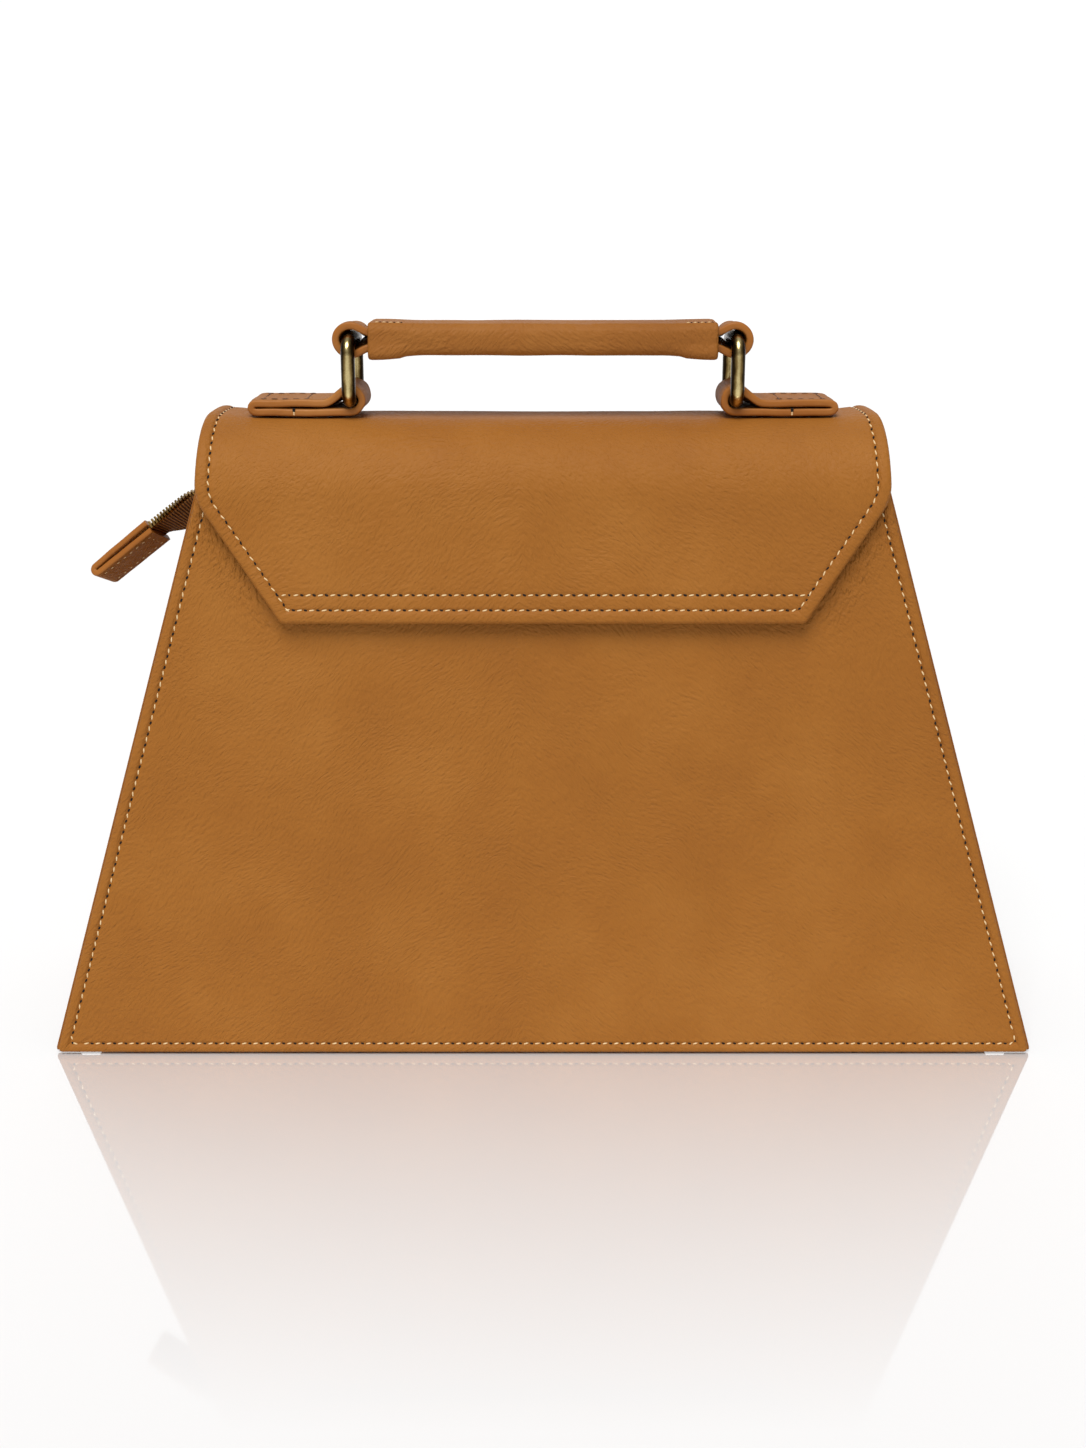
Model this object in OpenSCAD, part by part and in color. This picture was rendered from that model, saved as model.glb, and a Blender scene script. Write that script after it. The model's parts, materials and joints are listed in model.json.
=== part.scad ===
// Trapezoid crossbody bag in smooth tan leather. Two stiff panels stand proud of
// the gussets and the base on stitched rims, a folded flap carries the top handle on
// two rings, a recessed metal zip closes the mouth and its tail hangs out on the
// left, and each gusset has a ring for a shoulder strap.
// Millimetres. The front faces -Y, +X is the right-hand side seen from the front,
// +Z is up, and the origin is on the ground under the middle of the bag.

/* [Body] */
// Width of the bag along the ground
base_w = 290; // [270:1:310]
// Width of the front and back panels at their top edge
top_w = 195.5; // [188:0.5:202]
// Height of the front and back panels
panel_h = 168; // [160:1:176]
// Depth over both panels at the ground
base_d = 88; // [80:1:96]
// Depth over both panels at their top edge
top_d = 52.5; // [50:0.5:56]
// Radius of the panels' bottom corners
corner_r = 2.4; // [1:0.1:4]

/* [Leather and boards] */
// Thickness of the front and back panels' leather
panel_t = 1.6; // [1.2:0.1:2]
// Thickness of the gussets and the base
gusset_t = 1.4; // [1:0.1:1.8]
// Thickness of the stiffening boards behind the panels
board_t = 1.2; // [0.8:0.1:1.6]
// Thickness of the board on the base
base_board_t = 2; // [1.5:0.1:3]
// Thickness of the lining
lining_t = 0.6; // [0.4:0.1:0.8]
// How far the panels stand proud of the gussets
rim_w = 8; // [7:0.5:10]
// How far the panels stand proud of the base
foot_rim_w = 7; // [5:0.5:9]
// How far the rim's back layer shows past the panel's edge
rim_reveal = 0.6; // [0.3:0.1:1]

/* [Flap] */
// Height of the flap's crest above the panels' top edges
crest_rise = 17.2; // [15:0.1:20]
// Outer radius of the bends on both sides of the crest
crest_r = 22; // [19:0.5:23]
// Thickness of the flap's outer leather
flap_leather_t = 1.3; // [1:0.1:1.6]
// Thickness of the flap's core
flap_core_t = 0.9; // [0.6:0.1:1.4]
// Thickness of the flap's lining
flap_lining_t = 0.8; // [0.5:0.1:1]
// Gap between the closed flap and the front panel
flap_gap = 0.4; // [0.3:0.1:0.8]
// How far the flap's sides lie inside the panels' top corners over the crest
flap_crest_in = 3.5; // [2.5:0.1:5]
// How far the flap's side corners lie inside the panels' top corners
flap_side_in = 0.15; // [0:0.05:1.5]
// Width of the flap's bottom edge
flap_low_w = 149; // [135:1:165]
// How far the flap's side corners lie below the panels' top edges
flap_side_drop = 3.7; // [2:0.1:8]
// How far the flap's bottom edge lies below the panels' top edges
flap_low_drop = 38.5; // [30:0.5:48]
// Width of the turned hem round the flap
hem_w = 4; // [3:0.5:6]
// Length of the flap's strip that is sewn to the back panel
back_strip_l = 26; // [18:1:34]
// Diameter of the hidden magnets
magnet_d = 14; // [10:1:18]

/* [Handle] */
// Distance from the middle of the bag to each ring
ring_x = 55.4; // [52:0.1:60]
// Diameter of the rings' wire
ring_wire = 4; // [3.4:0.1:4.4]
// Inside width of the rings, front to back
ring_in_w = 21; // [20.6:0.1:24]
// Inside height of the rings
ring_in_h = 12.6; // [12:0.1:16]
// Radius of the rings' corners, measured at the middle of the wire
ring_corner_r = 3.5; // [2.6:0.1:4]
// Width of the straps through the rings
strap_w = 19.5; // [17:0.5:20]
// Thickness of the straps
strap_t = 2.1; // [1.8:0.1:2.3]
// Distance from the middle of the bag to the outer end of each tab
tab_end_x = 85.2; // [82:0.2:90]
// Slope of the tab's upper layer where it comes off the ring
tab_slope = 38; // [32:1:44]
// Length of the handle's grip
grip_l = 99.5; // [94:0.5:100]
// Height of the grip at its middle
grip_h = 8.8; // [8.6:0.1:10]
// Height of the grip at its flared ends
grip_end_h = 10.8; // [10.4:0.1:12]
// Length of the flare at each end of the grip
flare_l = 14; // [8:1:24]
// Thickness of the filler between the straps in the grip
grip_core_t = 1.8; // [1.2:0.1:2]

/* [Zip] */
// How far the zip lies below the panels' top edges
zip_recess = 5; // [4.5:0.5:8]
// Distance between the facings on both sides of the zip
facing_gap = 16; // [14:0.5:20]
// Thickness of the facings
facing_t = 1.2; // [0.8:0.1:1.6]
// Width of each half of the zip's tape outside the teeth
tape_w = 13; // [11:0.5:15]
// Thickness of the tape
tape_t = 0.6; // [0.4:0.1:0.8]
// Distance between the teeth on one side
tooth_pitch = 3; // [2.8:0.1:3.6]
// Thickness of the teeth
tooth_t = 2.4; // [2:0.1:2.8]
// Width of the closed chain
chain_w = 6; // [5.2:0.2:6.6]
// Length of the slider
slider_l = 11; // [10:0.5:13]
// Length of the slider's pull
pull_l = 15; // [12:0.5:15]
// Width of the slider's pull
pull_w = 4.6; // [4:0.2:6]

/* [Zip tail] */
// How far outside the panels the tail bends down
tail_out = 4.2; // [3:0.1:6]
// Length of the bare tail, from its bend to the end tab
tail_l = 18; // [15:0.5:22]
// How far the tail droops below the horizontal, in degrees
tail_drop = 38.5; // [36:0.5:44]
// Roll of the tail about its own length where it leaves the bag, in degrees
tail_roll = 35; // [20:1:45]
// How much further the tail is rolled at its end tab, in degrees
tail_twist = 27; // [10:1:30]
// Length of the leather end tab
end_tab_l = 23; // [18:0.5:26]
// Width of the end tab
end_tab_w = 11.5; // [11:0.5:13]
// Thickness of each of the end tab's two layers
end_tab_t = 1.4; // [1.2:0.1:2]

/* [Side rings] */
// How far the side rings' pivots lie below the panels' top edges
side_ring_drop = 41; // [39:1:46]
// Diameter of the side rings' wire
side_ring_wire = 3; // [2.6:0.1:3.2]
// Inside width of the side rings
side_ring_in_w = 15.5; // [14.5:0.5:18]
// Length of the side rings' straight legs
side_ring_leg = 4; // [3:0.5:6]
// Lean of the hanging side rings towards the gussets, in degrees
side_ring_lean = 5; // [2:0.5:5]
// Thickness of the side tabs' leather
side_tab_t = 1.4; // [1:0.1:1.5]
// Width of the side tabs
side_tab_w = 14; // [12:0.5:14]
// Length of the side tabs above the pivot
side_tab_l = 20; // [16:1:24]

/* [Hidden] */
$fn = 48;

leather_rgb = [0.66, 0.43, 0.19];
edge_rgb = [0.55, 0.32, 0.13];
board_rgb = [0.62, 0.56, 0.46];
lining_rgb = [0.45, 0.36, 0.27];
tape_rgb = [0.46, 0.29, 0.14];
brass_rgb = [0.55, 0.46, 0.26];
steel_rgb = [0.6, 0.6, 0.62];

// How far a cut or a helper solid runs past what it cuts
overrun = 2 * base_w;
// Steps in each rounded corner of an outline
corner_steps = 6;

// Lean of the front panel from upright, and of the panels' side edges
lean_a = atan((base_d - top_d) / 2 / panel_h);
side_a = atan((base_w - top_w) / 2 / panel_h);

// Depths into the wall, measured from the outer face of the front panel
board_in = panel_t + board_t;
lining_in = board_in + lining_t;
facing_in = board_in + facing_t;

// Insets from the rim's edge to the faces of the gusset and of its lining
web_in = rim_w + gusset_t;
side_lining_in = web_in + lining_t;

// Heights of what lies on the base
base_top = foot_rim_w + gusset_t;
floor_z = base_top + base_board_t;

// Zip: underside of the facings, middle of the tape and half the chain
zip_z = panel_h - zip_recess;
zip_mid = zip_z - tape_t / 2;
chain_half = chain_w / 2;
gusset_top_gap = 3.5;
gusset_h = zip_z - gusset_top_gap;

// Flap: its heights and widths, its thickness and its hinge line
crest_h = panel_h + crest_rise;
flap_side_z = panel_h - flap_side_drop;
flap_low_z = panel_h - flap_low_drop;
flap_crest_w = top_w - 2 * flap_crest_in;
flap_side_w = top_w - 2 * flap_side_in;
flap_t = flap_leather_t + flap_core_t + flap_lining_t;
flap_off = flap_gap + flap_t;
crest_c = [
    half_d(crest_h - crest_r, -flap_off) - crest_r / cos(lean_a),
    crest_h - crest_r
];
hinge_y = crest_c.x + crest_r * cos(lean_a);
hinge_z = crest_c.y + crest_r * sin(lean_a);
hinge_gap = 0.3;
core_in = flap_leather_t;
flap_lining_in = flap_leather_t + flap_core_t;
flap_corner_r = 9;
flap_low_r = 2;
flap_lining_edge = 1;
strip_corner_r = 5;
magnet_edge = 4;
magnet_z = flap_low_z + hem_w + magnet_d / 2 + magnet_edge;
magnet_fit = 0.2;

// Rings: the pivots of each ring, and the loops of leather round them
wire_r = ring_wire / 2;
loop_fit = 0.35;
loop_sink = 0.04;
loop_r = wire_r + loop_fit;
ring_low_z = crest_h + strap_t + loop_r + loop_sink;
ring_top_z = ring_low_z + ring_in_h + ring_wire;
tab_slit = 0.5;
ring_half_w = (ring_in_w + ring_wire) / 2;

// Handle: its loops are wider than the rings' wire, so they hang on it off centre
handle_loop_fit = 1.1;
handle_loop_r = wire_r + handle_loop_fit;
handle_lift = 0.4;
handle_loop_in = 0.5;
handle_z = ring_top_z + handle_lift;
handle_slope = 28;
strap_half_h = grip_core_t / 2 + strap_t;
sleeve_fit = 0.15;
sleeve_wall = 1.5;
sleeve_in_h = 2 * (strap_half_h + sleeve_fit);
sleeve_in_w = strap_w + 2 * sleeve_fit;
grip_half_w = sleeve_in_w / 2 + sleeve_wall;
grip_end_round = 1.2;
grip_side_flare = 0.4;

// Slider and pull
slider_fit = 0.2;
slider_plate_t = 1;
slider_nose_w = 9.6;
slider_tail_w = 8.6;
slider_flange_t = 0.9;
slider_post_w = 2.2;
slider_post_l = 4;
slider_tip_share = 0.8;
slider_end_trim = 0.1;
slider_end_gap = 3.9;
slider_x = half_w(zip_z, web_in) - slider_end_gap - slider_l / 2;
slider_top = zip_mid + tooth_t / 2 + slider_fit + slider_plate_t;
slider_bottom = zip_mid - tooth_t / 2 - slider_fit - slider_plate_t;
bridge_w = 1.6;
bridge_h = 2.6;
bridge_t = 0.8;
bridge_l = 4.6;
bridge_lean_share = 1.4;
pull_t = 1.2;
pull_arm_w = 1;
pull_pivot_z = slider_top + slider_fit + pull_t / 2;
stop_l = 2;

// Zip tail
tail_x = half_w(zip_z, 0) + tail_out;
tail_slot = 2.2;
tail_grip = 6;
tail_fit = 0.15;
tail_neck = 0.75;
tail_neck_share = 1.4;
tail_count = floor((tail_l - tooth_pitch) / tooth_pitch);
end_tab_lip = 0.5;
tail_tape_low = end_tab_w - end_tab_lip - tail_fit;

// Teeth of one side, as shares of the pitch along the chain
tooth_w_share = 0.43;
tooth_head = 0.9;
tooth_tip = 0.3;
chain_end_x = slider_x + slider_l / 2 - slider_post_l - stop_l;
chain_count = floor((chain_end_x + tail_x) / tooth_pitch);

// Side rings
side_ring_z = panel_h - side_ring_drop;
side_loop_fit = 0.25;
side_loop_r = side_ring_wire / 2 + side_loop_fit;
side_loop_out = side_loop_r + side_tab_t;
side_ring_half_w = (side_ring_in_w + side_ring_wire) / 2;

// Half the depth of the body at height z, a distance n inside the panels' faces
function half_d(z, n) = base_d / 2 - (base_d - top_d) / 2 * z / panel_h - n / cos(lean_a);

// Half the width of the body at height z, a distance n inside the rims' edges
function half_w(z, n) = base_w / 2 - (base_w - top_w) / 2 * z / panel_h - n / cos(side_a);

function unit(v) = v / norm(v);

// Points of an arc round c, from angle a through the angle turn
function arc(c, r, a, turn, steps = corner_steps) =
    [for (i = [0:steps]) c + r * [cos(a + turn * i / steps), sin(a + turn * i / steps)]];

// The corner q between p and s of a convex outline, rounded to radius r
function round_corner(p, q, s, r) =
    let (u = unit(p - q), v = unit(s - q), half = acos(u * v) / 2)
    let (c = q + unit(u + v) * r / sin(half), a = q + u * r / tan(half) - c)
    r == 0 ? [q] : arc(c, r, atan2(a.y, a.x), 180 - 2 * half);

// A convex outline, listed anticlockwise, with each corner rounded to its radius
function rounded(pts, radii) =
    let (n = len(pts))
    [for (i = [0:n - 1])
        each round_corner(pts[(i + n - 1) % n], pts[i], pts[(i + 1) % n], radii[i])];

// The right half of an outline, listed upwards, with its mirror image added
function both_sides(pts) =
    concat(pts, [for (i = [len(pts) - 1:-1:0]) [-pts[i].x, pts[i].y]]);
function both_ends(values) = concat(values, [for (i = [len(values) - 1:-1:0]) values[i]]);

// A profile of Y and Z carried along X, and one of X and Z carried along Y
module along_x(l = overrun) rotate([90, 0, 90]) linear_extrude(l, center = true) children();
module along_y(l = overrun) rotate([90, 0, 0]) linear_extrude(l, center = true) children();

module to_back() mirror([0, 1, 0]) children();
module to_left() mirror([1, 0, 0]) children();

// Everything from height z0 to z1 between depths a and b behind the front face
module front_slab(a, b, z0, z1)
    along_x() polygon([
        [-half_d(z0, a), z0], [-half_d(z0, b), z0],
        [-half_d(z1, b), z1], [-half_d(z1, a), z1]
    ]);

// Everything between the two panels at depth n behind their faces
module between_panels(n, z0, z1)
    along_x() polygon([
        [-half_d(z0, n), z0], [half_d(z0, n), z0],
        [half_d(z1, n), z1], [-half_d(z1, n), z1]
    ]);

// The trapezoid of the panels, a distance n inside the rims' edges
module trapezoid(n, z0, z1, r = 0)
    along_y() polygon(rounded(
        both_sides([[half_w(z0, n), z0], [half_w(z1, n), z1]]),
        both_ends([r, 0])
    ));

// A strip along the right-hand slanted edge, from inset a to inset b
module side_strip(a, b, z0, z1)
    along_y() polygon([
        [half_w(z0, b), z0], [half_w(z0, a), z0],
        [half_w(z1, a), z1], [half_w(z1, b), z1]
    ]);

// Turns Z to the front panel's outward normal, at height z and depth n
module on_front(z, n)
    translate([0, -half_d(z, n), z]) rotate([90 - lean_a, 0, 0]) children();

module panel_leather() intersection() {
    front_slab(0, panel_t, 0, panel_h);
    trapezoid(rim_reveal, rim_reveal, panel_h, corner_r);
}

module panel_board() intersection() {
    front_slab(panel_t, board_in, 0, panel_h);
    trapezoid(web_in, base_top, panel_h - facing_t);
}

module panel_lining() intersection() {
    front_slab(board_in, lining_in, 0, panel_h);
    trapezoid(web_in, floor_z, zip_z);
}

module front_panel() color(leather_rgb) panel_leather();

module back_panel() color(leather_rgb) to_back() panel_leather();

// Gusset with a flange turned outwards behind each panel's rim
module gusset() {
    intersection() {
        side_strip(rim_w, web_in, base_top, gusset_h);
        between_panels(panel_t, 0, panel_h);
    }
    for (m = [0, 1]) mirror([0, m, 0]) intersection() {
        front_slab(panel_t, panel_t + gusset_t, 0, panel_h);
        side_strip(0, web_in, base_top, panel_h - rim_reveal);
    }
}

module gusset_left() color(edge_rgb) to_left() gusset();

module gusset_right() color(edge_rgb) gusset();

// Base with a flange turned down behind the foot of each panel
module base_panel() color(edge_rgb) {
    intersection() {
        between_panels(panel_t, 0, panel_h);
        trapezoid(rim_w, foot_rim_w, base_top);
    }
    for (m = [0, 1]) mirror([0, m, 0]) intersection() {
        front_slab(panel_t, panel_t + gusset_t, 0, panel_h);
        trapezoid(0, 0, base_top, corner_r);
    }
}

module front_board() color(board_rgb) difference() {
    panel_board();
    on_front(magnet_z, board_in)
        cylinder(d = magnet_d + 2 * magnet_fit, h = 3 * board_t, center = true);
}

module back_board() color(board_rgb) to_back() panel_board();

module base_board() color(board_rgb) intersection() {
    between_panels(board_in, 0, panel_h);
    trapezoid(web_in, base_top, floor_z);
}

module front_lining() color(lining_rgb) panel_lining();

module back_lining() color(lining_rgb) to_back() panel_lining();

module side_lining() intersection() {
    side_strip(web_in, side_lining_in, floor_z, gusset_h);
    between_panels(lining_in, 0, panel_h);
}

module left_lining() color(lining_rgb) to_left() side_lining();

module right_lining() color(lining_rgb) side_lining();

module base_lining() color(lining_rgb) intersection() {
    between_panels(lining_in, 0, panel_h);
    trapezoid(side_lining_in, floor_z, floor_z + lining_t);
}

module panel_magnet() color(steel_rgb)
    on_front(magnet_z, board_in) cylinder(d = magnet_d, h = board_t);

// Facing that caps the board, runs down its inside and turns in over the tape
module zip_facing() intersection() {
    along_x() polygon([
        [-half_d(zip_z, board_in), zip_z],
        [-facing_gap / 2, zip_z],
        [-facing_gap / 2, zip_z + facing_t],
        [-half_d(zip_z + facing_t, facing_in), zip_z + facing_t],
        [-half_d(panel_h, facing_in), panel_h],
        [-half_d(panel_h, panel_t), panel_h],
        [-half_d(panel_h - facing_t, panel_t), panel_h - facing_t],
        [-half_d(panel_h - facing_t, board_in), panel_h - facing_t]
    ]);
    trapezoid(web_in, 0, panel_h);
}

module zip_facing_front() color(leather_rgb) zip_facing();

module zip_facing_back() color(leather_rgb) to_back() zip_facing();

module zip_tape()
    translate([-tail_x, -chain_half - tape_w, zip_z - tape_t])
        cube([tail_x + half_w(zip_z, rim_w), tape_w, tape_t]);

module zip_tape_front() color(tape_rgb) zip_tape();

module zip_tape_back() color(tape_rgb) to_back() zip_tape();

// One tooth, centred on its place along the chain, reaching past the middle
module tooth() {
    w = tooth_w_share * tooth_pitch;
    linear_extrude(tooth_t, center = true) polygon([
        [-w / 2, -chain_half], [w / 2, -chain_half],
        [w / 2, tooth_head - tooth_tip], [w / 2 - tooth_tip, tooth_head],
        [-w / 2 + tooth_tip, tooth_head], [-w / 2, tooth_head - tooth_tip]
    ]);
}

// The front side's teeth: count of them, from the middle of the first
module teeth_row(count) for (i = [0:count - 1]) translate([i * tooth_pitch, 0, 0]) tooth();

module zip_teeth_front() color(brass_rgb)
    translate([chain_end_x - (chain_count - 0.5) * tooth_pitch, 0, zip_mid])
        teeth_row(chain_count);

module zip_teeth_back() color(brass_rgb)
    translate([chain_end_x - chain_count * tooth_pitch, 0, zip_mid])
        to_back() teeth_row(chain_count);

// A stop on each tape, beside the slider's post
module zip_stops() color(brass_rgb) for (m = [0, 1]) mirror([0, m, 0])
    translate([chain_end_x + tooth_pitch / 2, slider_post_w / 2 + slider_fit, zip_mid - tooth_t / 2])
        cube([stop_l, chain_half - slider_post_w / 2 - slider_fit, tooth_t]);

// Outline of the slider's plates, wider at the nose, drawn in by n at its sides
module slider_outline(n = 0) {
    tail = slider_tail_w / 2 - n;
    nose = slider_nose_w / 2 - n;
    polygon([
        [-slider_l / 2, -tail], [slider_l / 4, -nose], [slider_l / 2, -nose * slider_tip_share],
        [slider_l / 2, nose * slider_tip_share], [slider_l / 4, nose], [-slider_l / 2, tail]
    ]);
}

module slider_flanges(z, h) translate([0, 0, z]) linear_extrude(h) difference() {
    slider_outline();
    slider_outline(slider_flange_t);
    for (s = [-1, 1]) translate([s * slider_l, 0])
        square([slider_l + 2 * slider_end_trim, slider_nose_w], center = true);
}

module zip_slider() color(brass_rgb) translate([slider_x, 0, 0]) {
    gap_z = tape_t / 2 + slider_fit;
    plate_z = tooth_t / 2 + slider_fit;
    translate([0, 0, zip_mid + plate_z]) linear_extrude(slider_plate_t) slider_outline();
    translate([0, 0, slider_bottom]) linear_extrude(slider_plate_t) slider_outline();
    slider_flanges(zip_mid + gap_z, plate_z - gap_z);
    slider_flanges(zip_mid - plate_z, plate_z - gap_z);
    translate([slider_l / 2 - slider_post_l / 2, 0, zip_mid])
        cube([slider_post_l, slider_post_w, 2 * plate_z], center = true);
    translate([0, 0, slider_top]) along_y(bridge_w) difference() {
        polygon([
            [-bridge_l / 2, -slider_fit], [bridge_l / 2, -slider_fit],
            [bridge_l / 2 - bridge_t / 2, bridge_h], [bridge_t / 2 - bridge_l / 2, bridge_h]
        ]);
        polygon([
            [bridge_t - bridge_l / 2, 0], [bridge_l / 2 - bridge_t, 0],
            [bridge_l / 2 - bridge_t * bridge_lean_share, bridge_h - bridge_t],
            [bridge_t * bridge_lean_share - bridge_l / 2, bridge_h - bridge_t]
        ]);
    }
}

// Pull: a bar under the slider's bridge, two arms beside it and a flat tag
module zip_pull() color(brass_rgb) translate([slider_x, 0, pull_pivot_z]) {
    arm_in = bridge_w / 2 + slider_fit;
    arm_l = bridge_l / 2 + 2 * slider_fit;
    arm_out = arm_in + pull_arm_w;
    rotate([90, 0, 0]) cylinder(d = pull_t, h = 2 * arm_out, center = true);
    for (s = [-1, 1]) translate([-arm_l / 2, s * (arm_in + pull_arm_w / 2), 0])
        cube([arm_l, pull_arm_w, pull_t], center = true);
    translate([0, 0, -pull_t / 2]) linear_extrude(pull_t) polygon(rounded(
        [[-pull_l, -pull_w / 2], [-arm_l, -arm_out], [-arm_l, arm_out], [-pull_l, pull_w / 2]],
        [pull_w / 3, 0, 0, pull_w / 3]
    ));
}

// Roll of the tail at x along it
function roll_at(x) = tail_roll + tail_twist * min(x / (tail_l - tail_neck), 1);

// Places what sits at x on the tail: +X runs down along it, +Z is its upper edge
module on_tail(x) translate([-tail_x, 0, zip_mid]) mirror([1, 0, 0])
    rotate([0, tail_drop, 0]) rotate([roll_at(x), 0, 0]) translate([x, 0, 0]) children();

// A closed solid through rings of points, all with the same count
module loft(rings) {
    n = len(rings[0]);
    m = len(rings);
    sides = [for (j = [0:m - 2], i = [0:n - 1]) each [
        [j * n + i, j * n + (i + 1) % n, (j + 1) * n + i],
        [j * n + (i + 1) % n, (j + 1) * n + (i + 1) % n, (j + 1) * n + i]
    ]];
    first = [for (i = [1:n - 2]) [0, i + 1, i]];
    last = [for (i = [1:n - 2], z = [(m - 1) * n]) [z, z + i, z + i + 1]];
    polyhedron([for (r = rings) each r], concat(sides, first, last));
}

// The tape's two halves, folded down from the chain and drawn flat into the tab
function tail_section(x, top_half, low_half) = let (r = roll_at(x), top = tooth_t / 2 + tail_fit) [
    for (p = [[-top_half, -top], [-low_half, -tail_tape_low], [low_half, -tail_tape_low], [top_half, -top]])
        [x, p.x * cos(r) - p.y * sin(r), p.x * sin(r) + p.y * cos(r)]
];

module tail_tape() color(tape_rgb) {
    flat = tail_slot / 2 - tail_fit;
    steps = 6;
    bare = tail_l - tooth_pitch - hinge_gap;
    translate([-tail_x, 0, zip_mid]) mirror([1, 0, 0]) rotate([0, tail_drop, 0]) loft(concat(
        [for (i = [0:steps]) tail_section(
            hinge_gap + bare * i / steps,
            chain_half + (flat * tail_neck_share - chain_half) * i / steps,
            flat
        )],
        [for (x = [tail_l - tail_neck, tail_l + tail_grip]) tail_section(x, flat, flat)]
    ));
}

// Two rows of teeth, each tooth turned with the tape
module tail_teeth() color(brass_rgb) for (m = [0, 1], i = [0:tail_count - 1])
    on_tail((i + (1 + m) / 2) * tooth_pitch) mirror([0, m, 0]) tooth();

// Leather folded over the end of the tail, its fold at the far end
module tail_end_tab() color(leather_rgb) {
    half = tail_slot / 2 + end_tab_t;
    on_tail(tail_l) translate([0, 0, end_tab_lip - end_tab_w]) linear_extrude(end_tab_w)
        difference() {
            union() {
                translate([0, -half]) square([end_tab_l - half, 2 * half]);
                translate([end_tab_l - half, 0]) circle(half);
            }
            translate([-tail_fit, -tail_slot / 2]) square([end_tab_l - half + tail_fit, tail_slot]);
            translate([end_tab_l - half, 0]) circle(tail_slot / 2);
        }
}

// The flap's closed profile at depth n under its outer face, down to height z
module flap_profile(n, z = flap_low_z - hem_w)
    polygon(both_sides(concat(
        [[half_d(z, n - flap_off), z]],
        arc(crest_c, crest_r - n, lean_a, 90 - lean_a, 2 * corner_steps)
    )));

// The flap between depths a and b, cut off square at its hinge line on the back
module flap_layer(a, b) along_x() difference() {
    flap_profile(a);
    flap_profile(b);
    translate([hinge_y, hinge_z]) rotate(lean_a) translate([-crest_r / 2, -panel_h])
        square([crest_r, panel_h]);
}

// The flap's outline, seen from the front, a distance n inside its edge
module flap_outline(n = 0) {
    slant = unit([flap_side_z - flap_low_z, (flap_low_w - flap_side_w) / 2]);
    grow = n * (1 - slant.y) / slant.x;
    low = [flap_low_w / 2 - n * (1 + slant.y) / slant.x, flap_low_z + n];
    side = [flap_side_w / 2 - n, flap_side_z + grow - n];
    top = [flap_crest_w / 2 - n, crest_h + flap_t];
    intersection() {
        along_y() polygon(rounded(
            both_sides([low, side, top]), both_ends([flap_low_r, flap_corner_r, 0])
        ));
        translate([0, -overrun / 2, 0]) cube([overrun, overrun, overrun], center = true);
    }
    intersection() {
        translate([0, 0, crest_h]) cube([flap_crest_w - 2 * n, overrun, crest_h], center = true);
        translate([0, overrun / 2, 0]) cube([overrun, overrun, overrun], center = true);
    }
}

// Outer leather with its hem turned in round the edge
module flap_outer() color(leather_rgb) {
    intersection() {
        flap_layer(0, core_in);
        flap_outline();
    }
    difference() {
        intersection() {
            flap_layer(core_in, flap_lining_in);
            flap_outline();
        }
        flap_outline(hem_w);
    }
}

module flap_core() color(board_rgb) difference() {
    intersection() {
        flap_layer(core_in, flap_lining_in);
        flap_outline(hem_w);
    }
    on_front(magnet_z, core_in - flap_off)
        cylinder(d = magnet_d + 2 * magnet_fit, h = 4 * flap_core_t, center = true);
}

module flap_lining() color(lining_rgb) intersection() {
    flap_layer(flap_lining_in, flap_t);
    flap_outline(flap_lining_edge);
}

module flap_magnet() color(steel_rgb)
    on_front(magnet_z, flap_lining_in - flap_off) cylinder(d = magnet_d, h = flap_core_t);

// The flap's root, sewn down on the back panel below the hinge line
module flap_back_strip() color(leather_rgb) {
    top = hinge_z - hinge_gap - flap_off * sin(lean_a);
    intersection() {
        to_back() front_slab(-flap_off, 0, 0, top);
        along_y() polygon(rounded(
            both_sides([[flap_crest_w / 2, top - back_strip_l], [flap_crest_w / 2, top]]),
            both_ends([strip_corner_r, 0])
        ));
    }
}

// A strap's loop of radius r, sloping down to the left until it lies flat at height
// flat, and filled down to height base. Heights are from the middle of the loop.
module loop_shape(r, slope, flat, base) {
    t = (r - loop_sink) * [-sin(slope), cos(slope)];
    end_x = t.x - (t.y - flat) / tan(slope);
    circle(r);
    polygon([[0, base], [0, r / 2], t, [end_x, flat], [end_x, base]]);
}

// A tab on the flap: a strap folded at its outer end and looped round the ring
module ring_tab() {
    outer = loop_r + strap_t;
    low = outer + loop_sink;
    low_in = low - strap_t;
    fold_r = strap_t + tab_slit / 2;
    fold_x = tab_end_x - fold_r;
    translate([0, 0, ring_low_z]) along_y(strap_w) difference() {
        union() {
            translate([ring_x, 0]) mirror([1, 0])
                loop_shape(outer, tab_slope, 2 * fold_r - low, -low);
            translate([ring_x, -low]) square([fold_x - ring_x, 2 * fold_r]);
            translate([fold_x, fold_r - low]) circle(fold_r);
        }
        translate([ring_x, 0]) mirror([1, 0])
            loop_shape(loop_r, tab_slope, tab_slit - low_in, -low_in);
        translate([ring_x, -low_in]) square([fold_x - ring_x, tab_slit]);
        translate([fold_x, tab_slit / 2 - low_in]) circle(tab_slit / 2);
    }
}

module tab_left() color(leather_rgb) to_left() ring_tab();

module tab_right() color(leather_rgb) ring_tab();

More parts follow.
